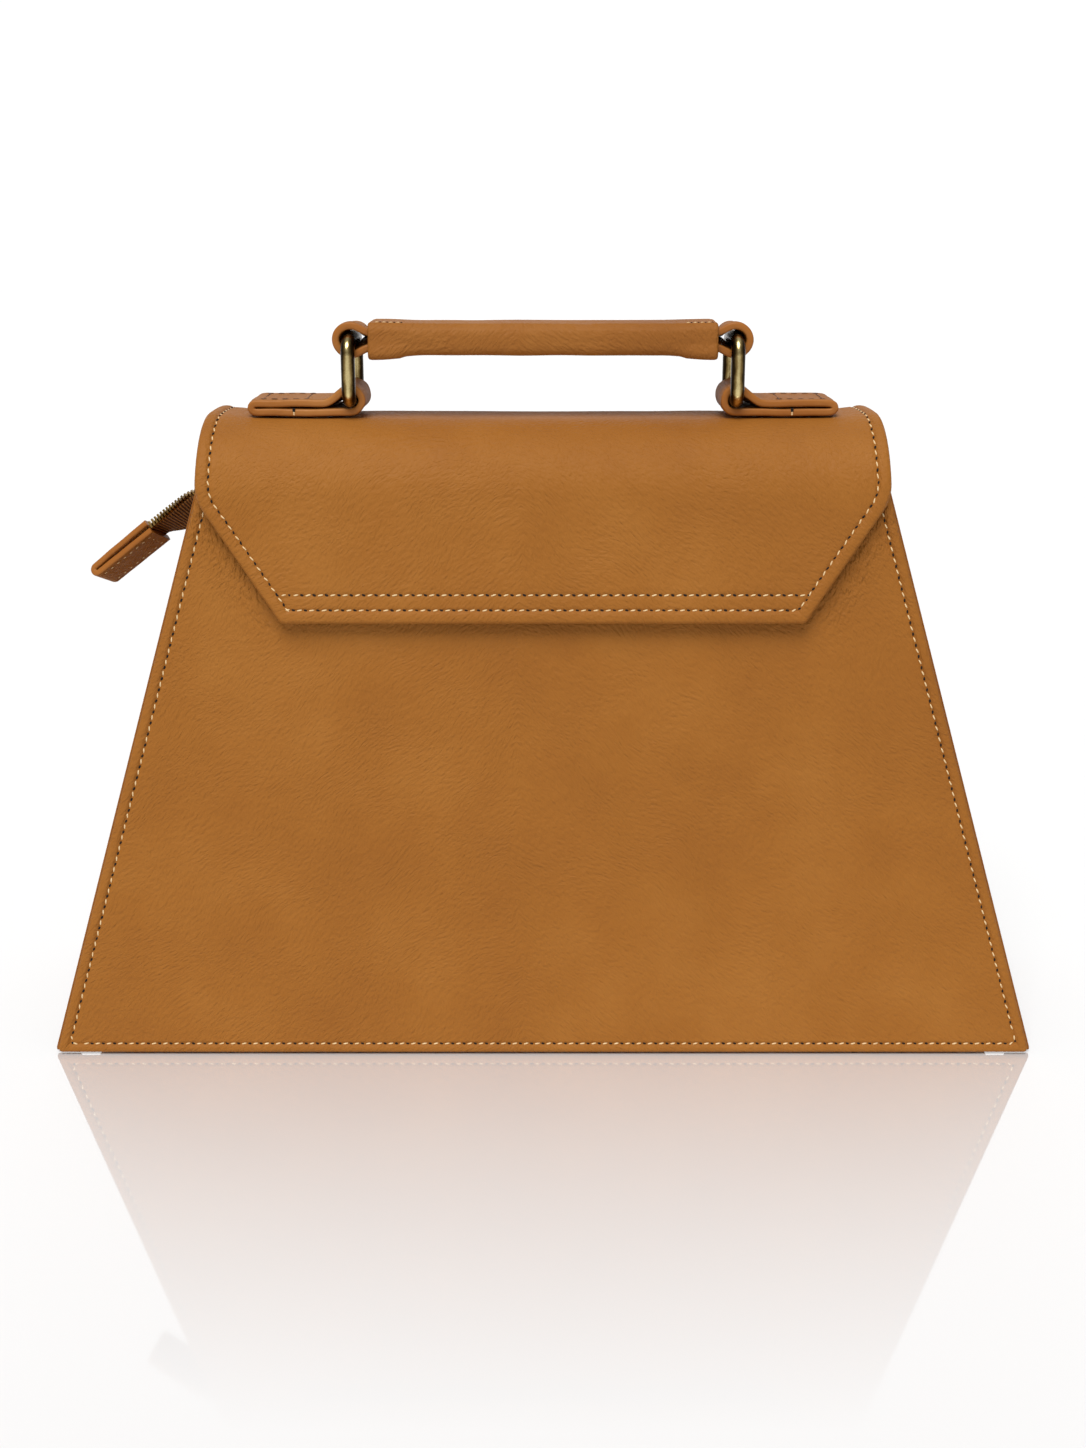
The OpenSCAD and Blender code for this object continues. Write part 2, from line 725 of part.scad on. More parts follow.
// Rectangular ring of round wire with bent corners, standing front to back
module handle_ring() translate([ring_x, 0, (ring_low_z + ring_top_z) / 2]) {
    half_h = (ring_top_z - ring_low_z) / 2;
    flat_y = ring_half_w - ring_corner_r;
    flat_z = half_h - ring_corner_r;
    for (s = [-1, 1]) {
        translate([0, 0, s * half_h]) rotate([90, 0, 0])
            cylinder(r = wire_r, h = 2 * flat_y, center = true);
        translate([0, s * ring_half_w, 0]) cylinder(r = wire_r, h = 2 * flat_z, center = true);
    }
    for (a = [0:90:270]) rotate([a, 0, 0])
        translate([0, a % 180 == 0 ? flat_y : flat_z, a % 180 == 0 ? flat_z : flat_y])
            rotate([90, 0, 90]) rotate_extrude(angle = 90)
                translate([ring_corner_r, 0]) circle(wire_r);
}

module ring_left() color(brass_rgb) to_left() handle_ring();

module ring_right() color(brass_rgb) handle_ring();

// One strap through the whole grip, in two layers, with a loop at each end
module handle_strap() color(leather_rgb) {
    loop_x = ring_x - handle_loop_in;
    outer = handle_loop_r + strap_t;
    inner_low = strap_half_h - strap_t;
    translate([0, 0, handle_z]) along_y(strap_w) difference() {
        union() {
            square([2 * loop_x, 2 * strap_half_h], center = true);
            for (m = [0, 1], n = [0, 1]) mirror([m, 0]) translate([loop_x, 0]) mirror([0, n])
                loop_shape(outer, handle_slope, strap_half_h, 0);
        }
        square([2 * loop_x, 2 * inner_low], center = true);
        for (m = [0, 1], n = [0, 1]) mirror([m, 0]) translate([loop_x, 0]) mirror([0, n])
            loop_shape(handle_loop_r, handle_slope, inner_low, 0);
    }
}

module handle_core() color(board_rgb)
    translate([0, 0, handle_z]) cube([grip_l - 2 * flare_l / 3, strap_w, grip_core_t], center = true);

// Section of the grip: flat above and below, with half-round sides
function grip_section(x, half_h, half_w) = [
    for (p = concat(
        arc([half_w - half_h, 0], half_h, -90, 180, 2 * corner_steps),
        arc([half_h - half_w, 0], half_h, 90, 180, 2 * corner_steps)
    )) [x, p.x, p.y]
];

// Leather rolled round the straps, flaring at both ends
module handle_sleeve() color(leather_rgb) {
    flare = (grip_end_h - grip_h) / 2;
    flare_end = grip_l / 2 - grip_end_round;
    steps = 4;
    right = concat(
        [for (i = [0:steps]) let (swell = (1 - cos(180 * i / steps)) / 2) [
            flare_end - flare_l * (1 - i / steps),
            grip_h / 2 + flare * swell,
            grip_half_w + grip_side_flare * swell
        ]],
        [[
            grip_l / 2,
            grip_end_h / 2 - grip_end_round / 2,
            grip_half_w + grip_side_flare - grip_end_round / 2
        ]]
    );
    left = [for (i = [len(right) - 1:-1:0]) [-right[i].x, right[i].y, right[i].z]];
    translate([0, 0, handle_z]) difference() {
        loft([for (r = concat(left, right)) grip_section(r.x, r.y, r.z)]);
        cube([overrun, sleeve_in_w, sleeve_in_h], center = true);
    }
}

// Places what hangs on the right gusset: +X is outwards from it, +Z up along it
module on_gusset() translate([half_w(side_ring_z, rim_w), 0, side_ring_z])
    rotate([0, -side_a, 0]) translate([side_loop_out, 0, 0]) children();

module side_tab() on_gusset() along_y(side_tab_w) difference() {
    union() {
        circle(side_loop_out);
        translate([-side_loop_out, 0]) square([2 * side_tab_t, side_tab_l]);
    }
    circle(side_loop_r);
}

module side_tab_left() color(leather_rgb) to_left() side_tab();

module side_tab_right() color(leather_rgb) side_tab();

// A ring hanging from its straight bar, with two legs and a half-round end
module side_ring() on_gusset() rotate([0, side_ring_lean, 0]) {
    r = side_ring_wire / 2;
    rotate([90, 0, 0]) cylinder(r = r, h = 2 * side_ring_half_w, center = true);
    for (s = [-1, 1]) translate([0, s * side_ring_half_w, 0]) {
        sphere(r);
        mirror([0, 0, 1]) cylinder(r = r, h = side_ring_leg);
    }
    translate([0, 0, -side_ring_leg]) rotate([-90, 0, 90]) rotate_extrude(angle = 180)
        translate([side_ring_half_w, 0]) circle(r);
}

module side_ring_left() color(brass_rgb) to_left() side_ring();

module side_ring_right() color(brass_rgb) side_ring();

front_panel();
back_panel();
gusset_left();
gusset_right();
base_panel();
front_board();
back_board();
base_board();
front_lining();
back_lining();
left_lining();
right_lining();
base_lining();
panel_magnet();
zip_facing_front();
zip_facing_back();
zip_tape_front();
zip_tape_back();
zip_teeth_front();
zip_teeth_back();
zip_stops();
zip_slider();
zip_pull();
tail_tape();
tail_teeth();
tail_end_tab();
flap_back_strip();
flap_outer();
flap_core();
flap_lining();
flap_magnet();
tab_left();
tab_right();
ring_left();
ring_right();
handle_strap();
handle_core();
handle_sleeve();
side_tab_left();
side_tab_right();
side_ring_left();
side_ring_right();
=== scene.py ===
# %% [markdown]
# # A trapezoid flap bag in smooth leather
# The bag is two stiff leather panels that stand proud of a folded gusset on stitched
# rims. A flap folds over the zipped mouth and carries a short handle on two metal
# rings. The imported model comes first, as a fixed frame: hard parts keep their solids,
# and every soft part is built again over its own solid, with rounded edges, stitch
# grooves and sewn rows.

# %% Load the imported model
import json
import math

import bmesh
import bpy
from mathutils import Matrix, Vector, noise

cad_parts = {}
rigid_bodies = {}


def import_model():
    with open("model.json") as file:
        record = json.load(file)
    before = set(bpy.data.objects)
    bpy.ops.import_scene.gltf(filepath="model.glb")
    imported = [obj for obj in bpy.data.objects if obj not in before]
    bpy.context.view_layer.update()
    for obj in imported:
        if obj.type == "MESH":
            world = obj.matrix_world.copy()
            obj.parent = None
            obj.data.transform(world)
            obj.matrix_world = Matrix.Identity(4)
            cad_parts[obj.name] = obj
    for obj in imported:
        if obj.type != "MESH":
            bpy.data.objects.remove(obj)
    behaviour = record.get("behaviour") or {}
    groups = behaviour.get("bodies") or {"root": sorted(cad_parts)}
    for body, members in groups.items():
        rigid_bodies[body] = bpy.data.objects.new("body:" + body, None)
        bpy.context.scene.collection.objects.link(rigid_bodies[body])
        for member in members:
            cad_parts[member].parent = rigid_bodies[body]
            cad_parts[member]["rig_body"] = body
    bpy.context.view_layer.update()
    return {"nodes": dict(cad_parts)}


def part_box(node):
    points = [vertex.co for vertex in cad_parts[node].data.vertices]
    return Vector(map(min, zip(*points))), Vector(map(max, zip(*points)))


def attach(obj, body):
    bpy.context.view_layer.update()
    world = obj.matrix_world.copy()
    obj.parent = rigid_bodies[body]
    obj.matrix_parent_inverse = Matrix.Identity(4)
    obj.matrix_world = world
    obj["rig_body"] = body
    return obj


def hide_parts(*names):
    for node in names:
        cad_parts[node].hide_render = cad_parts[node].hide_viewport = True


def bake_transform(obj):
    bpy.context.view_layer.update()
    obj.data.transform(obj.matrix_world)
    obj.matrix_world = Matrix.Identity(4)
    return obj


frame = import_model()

# %% [markdown]
# ## Sizes
# The shapes below are worked out in millimetres and turned into metres when a mesh is
# made, because a bag maker thinks in millimetres. The same two functions place a point
# on the leaning panels and inside their slanted edges, so every piece agrees. The foot
# is 1 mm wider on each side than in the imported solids, because the leather bows out.

# %% Sizes of the body
MM = 0.001
FOOT_W, TOP_W, PANEL_H, FOOT_D, TOP_D = 292.0, 195.5, 168.0, 88.0, 52.5
PANEL_T, GUSSET_T, RIM_W, FOOT_RIM, REVEAL = 1.6, 1.4, 8.0, 7.0, 0.6
GUSSET_TOP, ZIP_MID, BASE_TOP = 159.5, 162.7, 8.4
LEAN = math.atan((FOOT_D - TOP_D) / 2 / PANEL_H)
SLANT = math.atan((FOOT_W - TOP_W) / 2 / PANEL_H)
FLAP_LOW, FLAP_SIDE, FLAP_LOW_X = 129.5, 164.3, 74.5
RING_X, WIRE_R = 55.4, 2.0
SIDES, FACES = (("left", -1), ("right", 1)), (("front", -1), ("back", 1))


def half_depth(z, inside=0.0):
    return FOOT_D / 2 - (FOOT_D - TOP_D) / 2 * z / PANEL_H - inside / math.cos(LEAN)


def half_width(z, inside=0.0):
    return FOOT_W / 2 - (FOOT_W - TOP_W) / 2 * z / PANEL_H - inside / math.cos(SLANT)


def smooth(t):
    t = min(1.0, max(0.0, t))
    return t * t * (3 - 2 * t)


def bell(t):
    """1 at 0, falling away evenly on both sides."""
    return math.exp(-t ** 2)


def ripple(x, y, z):
    """Slow noise, the same on every run."""
    return noise.noise(Vector((x, y, z)))


print(f"the panels lean {math.degrees(LEAN):.1f} degrees, their sides {math.degrees(SLANT):.1f}")

# %% [markdown]
# ## Materials
# Colours are written as the sRGB hex values that a colour picker shows, and one function
# turns them linear, which is what the shader adds and multiplies. Another adds a node
# with its settings and its wires, so each material below reads as a short list.

# %% Two helpers for materials
def linear(code):
    values = [int(code[i:i + 2], 16) / 255 for i in (1, 3, 5)]
    return [v / 12.92 if v <= 0.04045 else ((v + 0.055) / 1.055) ** 2.4 for v in values] + [1.0]


def add(tree, kind, settings=None, wires=None):
    node = tree.nodes.new(kind)
    for key, value in (settings or {}).items():
        if isinstance(key, str) and hasattr(node, key):
            setattr(node, key, value)
        else:
            node.inputs[key].default_value = value
    for key, socket in (wires or {}).items():
        tree.links.new(socket, node.inputs[key])
    return node


def new_material(name):
    material = bpy.data.materials.new(name)
    material.use_nodes = True
    material.node_tree.nodes.clear()
    return material, material.node_tree


def tones(tree, factor, *stops):
    ramp = add(tree, "ShaderNodeValToRGB", {}, {"Fac": factor})
    band = ramp.color_ramp
    while len(band.elements) < len(stops):
        band.elements.new(0.5)
    for element, (position, code) in zip(band.elements, stops):
        element.position, element.color = position, linear(code)
    return ramp.outputs["Color"]


def finish(tree, shader, colour, height, depth_mm, strength=1.0, roughness=None):
    """A shader with its colour, a bump of some depth and, if wired, its roughness."""
    bump = add(tree, "ShaderNodeBump", {"Strength": strength, "Distance": depth_mm * MM},
               {"Height": height})
    wires = {"Base Color": colour, "Normal": bump.outputs["Normal"]}
    if roughness:
        wires["Roughness"] = roughness
    surface = add(tree, "ShaderNodeBsdfPrincipled", shader, wires)
    add(tree, "ShaderNodeOutputMaterial", {}, {"Surface": surface.outputs["BSDF"]})


# %% [markdown]
# Nappa is full-grain leather that was tumbled soft and lightly finished. The eye gets a
# satin surface with soft tone clouds and a faint grain, about a millimetre wide and longer
# along the pull than across it. Real pores are finer, and the grain is drawn a little
# coarse so that it shows in the picture. A float attribute on the mesh adds small upright
# creases where the leather is pulled, up to CREASE_WEIGHT times as deep as the grain. Both
# patterns are mirrored at the bag's middle, because the hide is pulled towards both sides
# alike, and a slow drift of the coordinates keeps the two halves from matching.

# %% Nappa leather
CLOUD_MM, DRIFT_MM, DRIFTED_MM, CREASE_MM, CREASE_WEIGHT = 45, 30, 14, 0.95, 2.4


def drawn_out(tree, place, width_mm, length, tilt, detail):
    """Noise a few times longer than wide, tilted from upright by some degrees."""
    turned = add(tree, "ShaderNodeMapping",
                 {"vector_type": "TEXTURE", "Rotation": (0, math.radians(tilt), 0),
                  "Scale": (1, 1, length)}, {"Vector": place})
    return add(tree, "ShaderNodeTexNoise",
               {"Scale": 1 / (width_mm * MM), "Detail": detail, "Roughness": 0.5},
               {"Vector": turned.outputs[0]}).outputs["Fac"]


def nappa(name, dark, middle, light, grain_mm=0.8, depth_mm=0.52, roughness=0.58):
    material, tree = new_material(name)
    place = add(tree, "ShaderNodeTexCoord").outputs["Object"]
    clouds = add(tree, "ShaderNodeTexNoise",
                 {"Scale": 1 / (CLOUD_MM * MM), "Detail": 5.0, "Roughness": 0.6},
                 {"Vector": place})
    drift = add(tree, "ShaderNodeTexNoise", {"Scale": 1 / (DRIFT_MM * MM), "Detail": 1.0},
                {"Vector": place})
    drifted = add(tree, "ShaderNodeVectorMath",
                  {"operation": "MULTIPLY_ADD", 1: (DRIFTED_MM * MM,) * 3},
                  {0: drift.outputs["Color"], 2: place})
    parts = add(tree, "ShaderNodeSeparateXYZ", {}, {"Vector": drifted.outputs[0]}).outputs
    side = add(tree, "ShaderNodeMath", {"operation": "ABSOLUTE"}, {0: parts["X"]})
    mirrored = add(tree, "ShaderNodeCombineXYZ", {},
                   {"X": side.outputs[0], "Y": parts["Y"], "Z": parts["Z"]}).outputs[0]
    grain = drawn_out(tree, mirrored, grain_mm, 2.4, -45, 2.0)
    crease = drawn_out(tree, mirrored, CREASE_MM, 2.7, 14, 1.0)
    pulled = add(tree, "ShaderNodeAttribute", {"attribute_name": "pulled"})
    folds = add(tree, "ShaderNodeMath", {"operation": "MULTIPLY"},
                {0: crease, 1: pulled.outputs["Fac"]})
    height = add(tree, "ShaderNodeMath", {"operation": "MULTIPLY_ADD", 1: CREASE_WEIGHT},
                 {0: folds.outputs[0], 2: grain})
    colour = tones(tree, clouds.outputs["Fac"], (0.3, dark), (0.5, middle), (0.72, light))
    shade = add(tree, "ShaderNodeMapRange",
                {"From Min": 0.3, "From Max": 0.7, "To Min": roughness - 0.05,
                 "To Max": roughness + 0.05}, {"Value": grain})
    finish(tree, {"IOR": 1.48, "Specular IOR Level": 0.16}, colour, height.outputs[0], depth_mm,
           roughness=shade.outputs["Result"])
    return material


tan_nappa = nappa("Nappa leather, tan", "#925A20", "#996023", "#A06729")
strap_nappa = nappa("Nappa leather, tan strap", "#8A5420", "#955D25", "#9E672D")
edge_nappa = nappa("Nappa leather, folded gusset", "#80480F", "#8A5218", "#965C20")
polished_edge = nappa("Burnished leather edge", "#905420", "#9E622A", "#AE753C",
                      grain_mm=2.0, depth_mm=0.15, roughness=0.38)
print("leathers:", tan_nappa.name, strap_nappa.name, edge_nappa.name, polished_edge.name)

# %% [markdown]
# The rings and the zip are brass with an antique finish: darkened in a bath and then
# rubbed back, so brighter metal shows in soft patches. It is a metal, so its colour sits
# in the base colour and the index of refraction keeps its default. The rings also get a
# painted highlight along the middle of their wire and painted shade at its sides: a
# streak of light painted into their colour.

# %% Antique brass and plated steel
SCUFF_MM = 0.5


def metal(name, dark, middle, light, roughness, patch_mm, painted_highlight_x=None):
    material, tree = new_material(name)
    place = add(tree, "ShaderNodeTexCoord").outputs["Object"]
    patches = add(tree, "ShaderNodeTexNoise",
                  {"Scale": 1 / (patch_mm * MM), "Detail": 6.0, "Roughness": 0.65},
                  {"Vector": place}).outputs["Fac"]
    scuffs = add(tree, "ShaderNodeTexNoise", {"Scale": 1 / (SCUFF_MM * MM), "Detail": 3.0},
                 {"Vector": place})
    rough = add(tree, "ShaderNodeMapRange",
                {"To Min": roughness - 0.08, "To Max": roughness + 0.12}, {"Value": patches})
    wear_and_highlight = patches
    # painted highlight: lighter along the middle of the ring's wire, painted shade darker at its
    # sides
    if painted_highlight_x:
        width = add(tree, "ShaderNodeSeparateXYZ", {}, {"Vector": place}).outputs["X"]
        side = add(tree, "ShaderNodeMath", {"operation": "ABSOLUTE"}, {0: width})
        offset = add(tree, "ShaderNodeMath", {"operation": "SUBTRACT", 1: painted_highlight_x * MM},
                     {0: side.outputs[0]})
        away = add(tree, "ShaderNodeMath", {"operation": "ABSOLUTE"}, {0: offset.outputs[0]})
        rubbed = add(tree, "ShaderNodeMapRange",
                     {"From Min": 0.2 * MM, "From Max": 1.9 * MM, "To Min": 0.35, "To Max": -0.3},
                     {"Value": away.outputs[0]})
        wear_and_highlight = add(tree, "ShaderNodeMath", {"operation": "MULTIPLY_ADD", 1: 0.7},
                   {0: patches, 2: rubbed.outputs["Result"]}).outputs[0]
    colour = tones(tree, wear_and_highlight, (0.3, dark), (0.5, middle), (0.7, light))
    finish(tree, {"Metallic": 1.0}, colour, scuffs.outputs["Fac"], 0.02, 0.35,
           rough.outputs["Result"])
    return material


antique_brass = metal("Antique brass, rubbed back", "#684C24", "#98783F", "#CDAA68", 0.26, 6.0)
ring_brass_painted_highlight = metal("Antique brass ring, painted highlight", "#2E2210", "#866E40", "#D8C48C", 0.24, 6.0,
                   painted_highlight_x=RING_X)
plated_steel = metal("Nickel plated steel", "#8C8C90", "#A8A8AC", "#C0C0C4", 0.3, 8.0)

# %% [markdown]
# Zip tape is woven polyester with a rib across it every 0.8 mm, drawn here at 1 mm so
# that it shows. Each rib's groove is painted darker than its crest, painted shade, besides
# its bump. The rib follows the tape round its fold, so it reads the piece's own UV map,
# which is laid out in metres. Lining, board and thread are simpler: a weave, a fibre
# cloud and a fine twist.

# %% Tape, lining, board and thread
WAVE_STEP, FUZZ_MM = 0.314, 0.6   # a wave texture's bands are WAVE_STEP apart at scale 1


def woven(name, dark, light, rib_mm):
    material, tree = new_material(name)
    uv = add(tree, "ShaderNodeTexCoord").outputs["UV"]
    wave = add(tree, "ShaderNodeTexWave",
               {"wave_type": "BANDS", "bands_direction": "X", "Scale": WAVE_STEP / (rib_mm * MM),
                "Distortion": 0.6, "Detail": 2.0, "Detail Scale": 3.0}, {"Vector": uv})
    fuzz = add(tree, "ShaderNodeTexNoise", {"Scale": 1 / (FUZZ_MM * MM), "Detail": 3.0},
               {"Vector": uv})
    both = add(tree, "ShaderNodeMath", {"operation": "MULTIPLY_ADD", 1: 0.35},
               {0: fuzz.outputs["Fac"], 2: wave.outputs["Fac"]})
    # painted shade: the colour is darker in each rib's groove, lighter on its crest
    colour = tones(tree, wave.outputs["Fac"], (0.1, dark), (0.9, light))
    finish(tree, {"IOR": 1.5, "Roughness": 0.8, "Specular IOR Level": 0.2}, colour,
           both.outputs[0], 0.25)
    return material


def plain(name, dark, light, grain_mm, roughness, depth_mm=0.1, sheen=0.0):
    material, tree = new_material(name)
    place = add(tree, "ShaderNodeTexCoord").outputs["Object"]
    grain = add(tree, "ShaderNodeTexNoise", {"Scale": 1 / (grain_mm * MM), "Detail": 4.0},
                {"Vector": place})
    colour = tones(tree, grain.outputs["Fac"], (0.3, dark), (0.7, light))
    finish(tree, {"IOR": 1.5, "Roughness": roughness, "Sheen Weight": sheen}, colour,
           grain.outputs["Fac"], depth_mm, 0.6)
    return material


zip_tape = woven("Ribbed polyester zip tape, painted rib shade", "#42220A", "#8E5A26", 1.0)
lining = plain("Brushed polyester lining", "#5A412B", "#6E5238", 0.8, 0.85, 0.15, 0.3)
board = plain("Bonded leather board", "#8E7D63", "#A8967A", 1.5, 0.9)
cream_thread = plain("Waxed polyester thread, cream", "#D6B07A", "#F0DAAC", 0.3, 0.55, 0.05)
tan_thread = plain("Waxed polyester thread, brown", "#4A2A10", "#6A3F1C", 0.3, 0.55, 0.05)
# near-black marks: painted shade inside the pricked holes
stitch_hole_shade = plain("Painted shade in a stitch hole", "#0C0502", "#1A0C04", 0.4, 0.95)
print(len(bpy.data.materials), "materials")

# %% [markdown]
# ## Making meshes
# Most pieces here are one tube of closed loops: a panel is a tube that opens from the
# middle of its face, turns round the rim and closes again on its back. Sewn and folded
# sheets are grids that get their thickness from Solidify and a rounded edge from Bevel.
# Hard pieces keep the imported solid's mesh, merged and bevelled.

# %% Mesh helpers
def link(name, mesh, material):
    thing = bpy.data.objects.new(name, mesh)
    bpy.context.scene.collection.objects.link(thing)
    if not mesh.materials:
        mesh.materials.append(material)
    return thing


def tube(loops, ends="capped"):
    count = len(loops[0])
    points = [p for loop in loops for p in loop]
    rows = range(len(loops)) if ends == "joined" else range(len(loops) - 1)
    faces = []
    for j in rows:
        a, b = j * count, ((j + 1) % len(loops)) * count
        faces += [(a + i, a + (i + 1) % count, b + (i + 1) % count, b + i) for i in range(count)]
    if ends == "capped":
        for start, loop in ((0, loops[0]), ((len(loops) - 1) * count, loops[-1])):
            points.append(tuple(sum(c) / count for c in zip(*loop)))
            faces += [(start + i, start + (i + 1) % count, len(points) - 1) for i in range(count)]
    return points, faces


def cleaned(mesh, merge_mm=0.0, flat=0.0, outwards=True):
    """Merge doubles, join faces that are flat within some degrees, turn faces outwards."""
    work = bmesh.new()
    work.from_mesh(mesh)
    if merge_mm:
        bmesh.ops.remove_doubles(work, verts=work.verts, dist=merge_mm * MM)
    if flat:
        bmesh.ops.dissolve_limit(work, angle_limit=math.radians(flat), verts=work.verts,
                                 edges=work.edges)
    if outwards:
        bmesh.ops.recalc_face_normals(work, faces=work.faces)
    work.to_mesh(mesh)
    work.free()


def shaded(mesh, sharp):
    """Smooth shading, with edges past some degrees kept sharp."""
    mesh.polygons.foreach_set("use_smooth", [True] * len(mesh.polygons))
    mesh.set_sharp_from_angle(angle=math.radians(sharp))


def piece(name, points, faces, material, body, replaced, sharp=40, pulled=None):
    mesh = bpy.data.meshes.new(name)
    mesh.from_pydata([Vector(p) * MM for p in points], [], faces)
    if pulled:
        mesh.attributes.new("pulled", "FLOAT", "POINT").data.foreach_set("value", pulled)
    cleaned(mesh)
    shaded(mesh, sharp)
    return settle(link(name, mesh, material), body, replaced)


def settle(thing, body, replaced):
    if body:
        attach(thing, body)
    if replaced:
        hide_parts(*replaced)
    return thing


def applied(thing):
    depsgraph = bpy.context.evaluated_depsgraph_get()
    mesh = bpy.data.meshes.new_from_object(thing.evaluated_get(depsgraph))
    thing.modifiers.clear()
    thing.data = mesh
    return thing


SHEET_ROUND = 0.45   # the rounding of a sheet's edge, as a share of its thickness


def sheet(name, grids, thickness, material, body, replaced):
    """Grids of points on the middle of a sheet, thickened evenly, with rounded edges."""
    points, faces, uvs = [], [], []
    for rows in grids:
        start, wide, along = len(points), len(rows[0]), 0.0
        for j, row in enumerate(rows):
            along += (Vector(row[0]) - Vector(rows[max(0, j - 1)][0])).length
            across = 0.0
            for i, p in enumerate(row):
                across += (Vector(p) - Vector(row[max(0, i - 1)])).length
                points.append(p)
                uvs.append((along, across))
        for j in range(len(rows) - 1):
            for i in range(wide - 1):
                a = start + j * wide + i
                faces.append((a, a + 1, a + wide + 1, a + wide))
    mesh = bpy.data.meshes.new(name)
    mesh.from_pydata([Vector(p) * MM for p in points], [], faces)
    layer = mesh.uv_layers.new(name="UVMap")
    for loop in mesh.loops:
        layer.data[loop.index].uv = Vector(uvs[loop.vertex_index]) * MM
    cleaned(mesh, merge_mm=0.01)
    thing = link(name, mesh, material)
    solidify = thing.modifiers.new("Thickness", "SOLIDIFY")
    solidify.thickness, solidify.offset, solidify.use_even_offset = thickness * MM, 0.0, True
    bevel = thing.modifiers.new("Rounded edge", "BEVEL")
    bevel.width, bevel.segments = SHEET_ROUND * thickness * MM, 2
    bevel.angle_limit = math.radians(60)
    applied(thing)
    shaded(thing.data, 60)
    return settle(thing, body, replaced)


def softened(node, width, material, edge_material=None, edge_axis=None):
    """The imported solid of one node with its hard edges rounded."""
    mesh = frame["nodes"][node].data.copy()
    mesh.materials.clear()
    cleaned(mesh, merge_mm=0.002, flat=0.5, outwards=False)
    thing = link(node + "_finished", mesh, material)
    bevel = thing.modifiers.new("Rounded edges", "BEVEL")
    bevel.width, bevel.segments, bevel.limit_method = width * MM, 3, "ANGLE"
    bevel.angle_limit = math.radians(35)
    mesh = applied(thing).data
    if edge_material:
        mesh.materials.append(edge_material)
        for face in mesh.polygons:
            if abs(face.normal.dot(Vector(edge_axis))) > 0.45:
                face.material_index = 1
    shaded(mesh, 30)
    return settle(thing, frame["nodes"][node]["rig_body"], (node,))


# %% [markdown]
# ## Outlines that can be drawn in
# A stitch line, a turned edge and a hem all run at a steady distance inside the same
# outline. So an outline is a list of corners, and one function draws it in by any
# distance, with each corner's rounding shrunk to match and the same number of points
# every time. The loops of a panel can then be joined point to point.

# %% Draw an outline in
def drawn_in(corners, inset):
    """corners: (x, y, radius, steps round the corner, steps to the next corner)."""
    count = len(corners)
    spots = [Vector(c[:2]) for c in corners]

    def mitre(i):
        before = (spots[i] - spots[i - 1]).normalized()
        after = (spots[(i + 1) % count] - spots[i]).normalized()
        n1, n2 = Vector((-before.y, before.x)), Vector((-after.y, after.x))
        return spots[i] + (n1 + n2) * inset / (1 + n1.dot(n2))

    inner = [mitre(i) for i in range(count)]
    bends = []
    for i, (_, _, radius, steps, _) in enumerate(corners):
        corner = inner[i]
        if steps == 0:
            bends.append([corner])
            continue
        u = (inner[i - 1] - corner).normalized()
        v = (inner[(i + 1) % count] - corner).normalized()
        half = math.acos(max(-1.0, min(1.0, u.dot(v)))) / 2
        r = max(radius - inset, 0.25)
        centre = corner + (u + v).normalized() * r / math.sin(half)
        first = corner + u * r / math.tan(half) - centre
        turn = math.pi - 2 * half
        bends.append([centre + Matrix.Rotation(turn * k / steps, 2) @ first
                      for k in range(steps + 1)])
    points = []
    for i, bend in enumerate(bends):
        points += bend
        following = bends[(i + 1) % count][0]
        steps = corners[i][4]
        points += [bend[-1].lerp(following, k / steps) for k in range(1, steps)]
    return points


def rim_rounding(inset, thickness):
    """How far the face drops at a distance from the edge, for a rim that is half round."""
    r = thickness / 2
    return r - math.sqrt(max(0.0, r * r - max(0.0, r - inset) ** 2))


FACE_INSETS = [18, 14, 11, 9.4, 8.9, 8.5, 8.2, 7.9, 7.5, 6.8, 6, 5.3, 4.8, 4.4, 4.15, 3.9, 3.65,
               3.4, 3.15, 2.9, 2.65, 2.35, 2.0, 1.6, 1.2, 0.85, 0.55, 0.35, 0.18, 0.07, 0.0]
BACK_INSETS = [0.08, 0.2, 0.35, 0.55, 0.8, 1.5, 4.0, 8.0]
MIDDLE_INSET = 40   # how much further in than the outermost ring the middle counts


def plate(corners, centre, thickness, face, place, inner_rows, back_rows=3):
    """A closed sheet: face(x, y, inset) is the drop of its front, place puts it in space."""
    middle, t, loops = Vector(centre), thickness, []
    first, last = drawn_in(corners, FACE_INSETS[0]), drawn_in(corners, BACK_INSETS[-1])
    for k in range(1, inner_rows):
        share = k / inner_rows
        inset = FACE_INSETS[0] + MIDDLE_INSET * (1 - share)
        loops.append([place(p.x, p.y, face(p.x, p.y, inset))
                      for p in (middle + (q - middle) * share for q in first)])
    for inset in FACE_INSETS:
        loops.append([place(p.x, p.y, rim_rounding(inset, t(p.x, p.y)) + face(p.x, p.y, inset))
                      for p in drawn_in(corners, inset)])
    for inset in BACK_INSETS:
        loops.append([place(p.x, p.y, t(p.x, p.y) - rim_rounding(inset, t(p.x, p.y)))
                      for p in drawn_in(corners, inset)])
    for k in range(back_rows, 0, -1):
        share = (k - 0.85) / back_rows
        loops.append([place(p.x, p.y, t(p.x, p.y))
                      for p in (middle + (q - middle) * share for q in last)])
    return tube(loops)


# %% [markdown]
# ## Front and back panels
# Each panel is a trapezoid of leather on a board, with its edge turned and sewn about
# 3 mm in. The thread pulls a shallow groove and leaves a soft cushion between groove and
# edge. The face is never dead flat: slow noise lets it sink by up to half a millimetre.

# %% The panels
SIDE_SEAM, FOOT_SEAM = 3.2, 2.7
foot_x, top_x = half_width(REVEAL, REVEAL), half_width(PANEL_H, REVEAL)
panel_corners = [(-foot_x, REVEAL, 1.4, 6, 230), (foot_x, REVEAL, 1.4, 6, 140),
                 (top_x, PANEL_H, 1.0, 4, 100), (-top_x, PANEL_H, 1.0, 4, 140)]


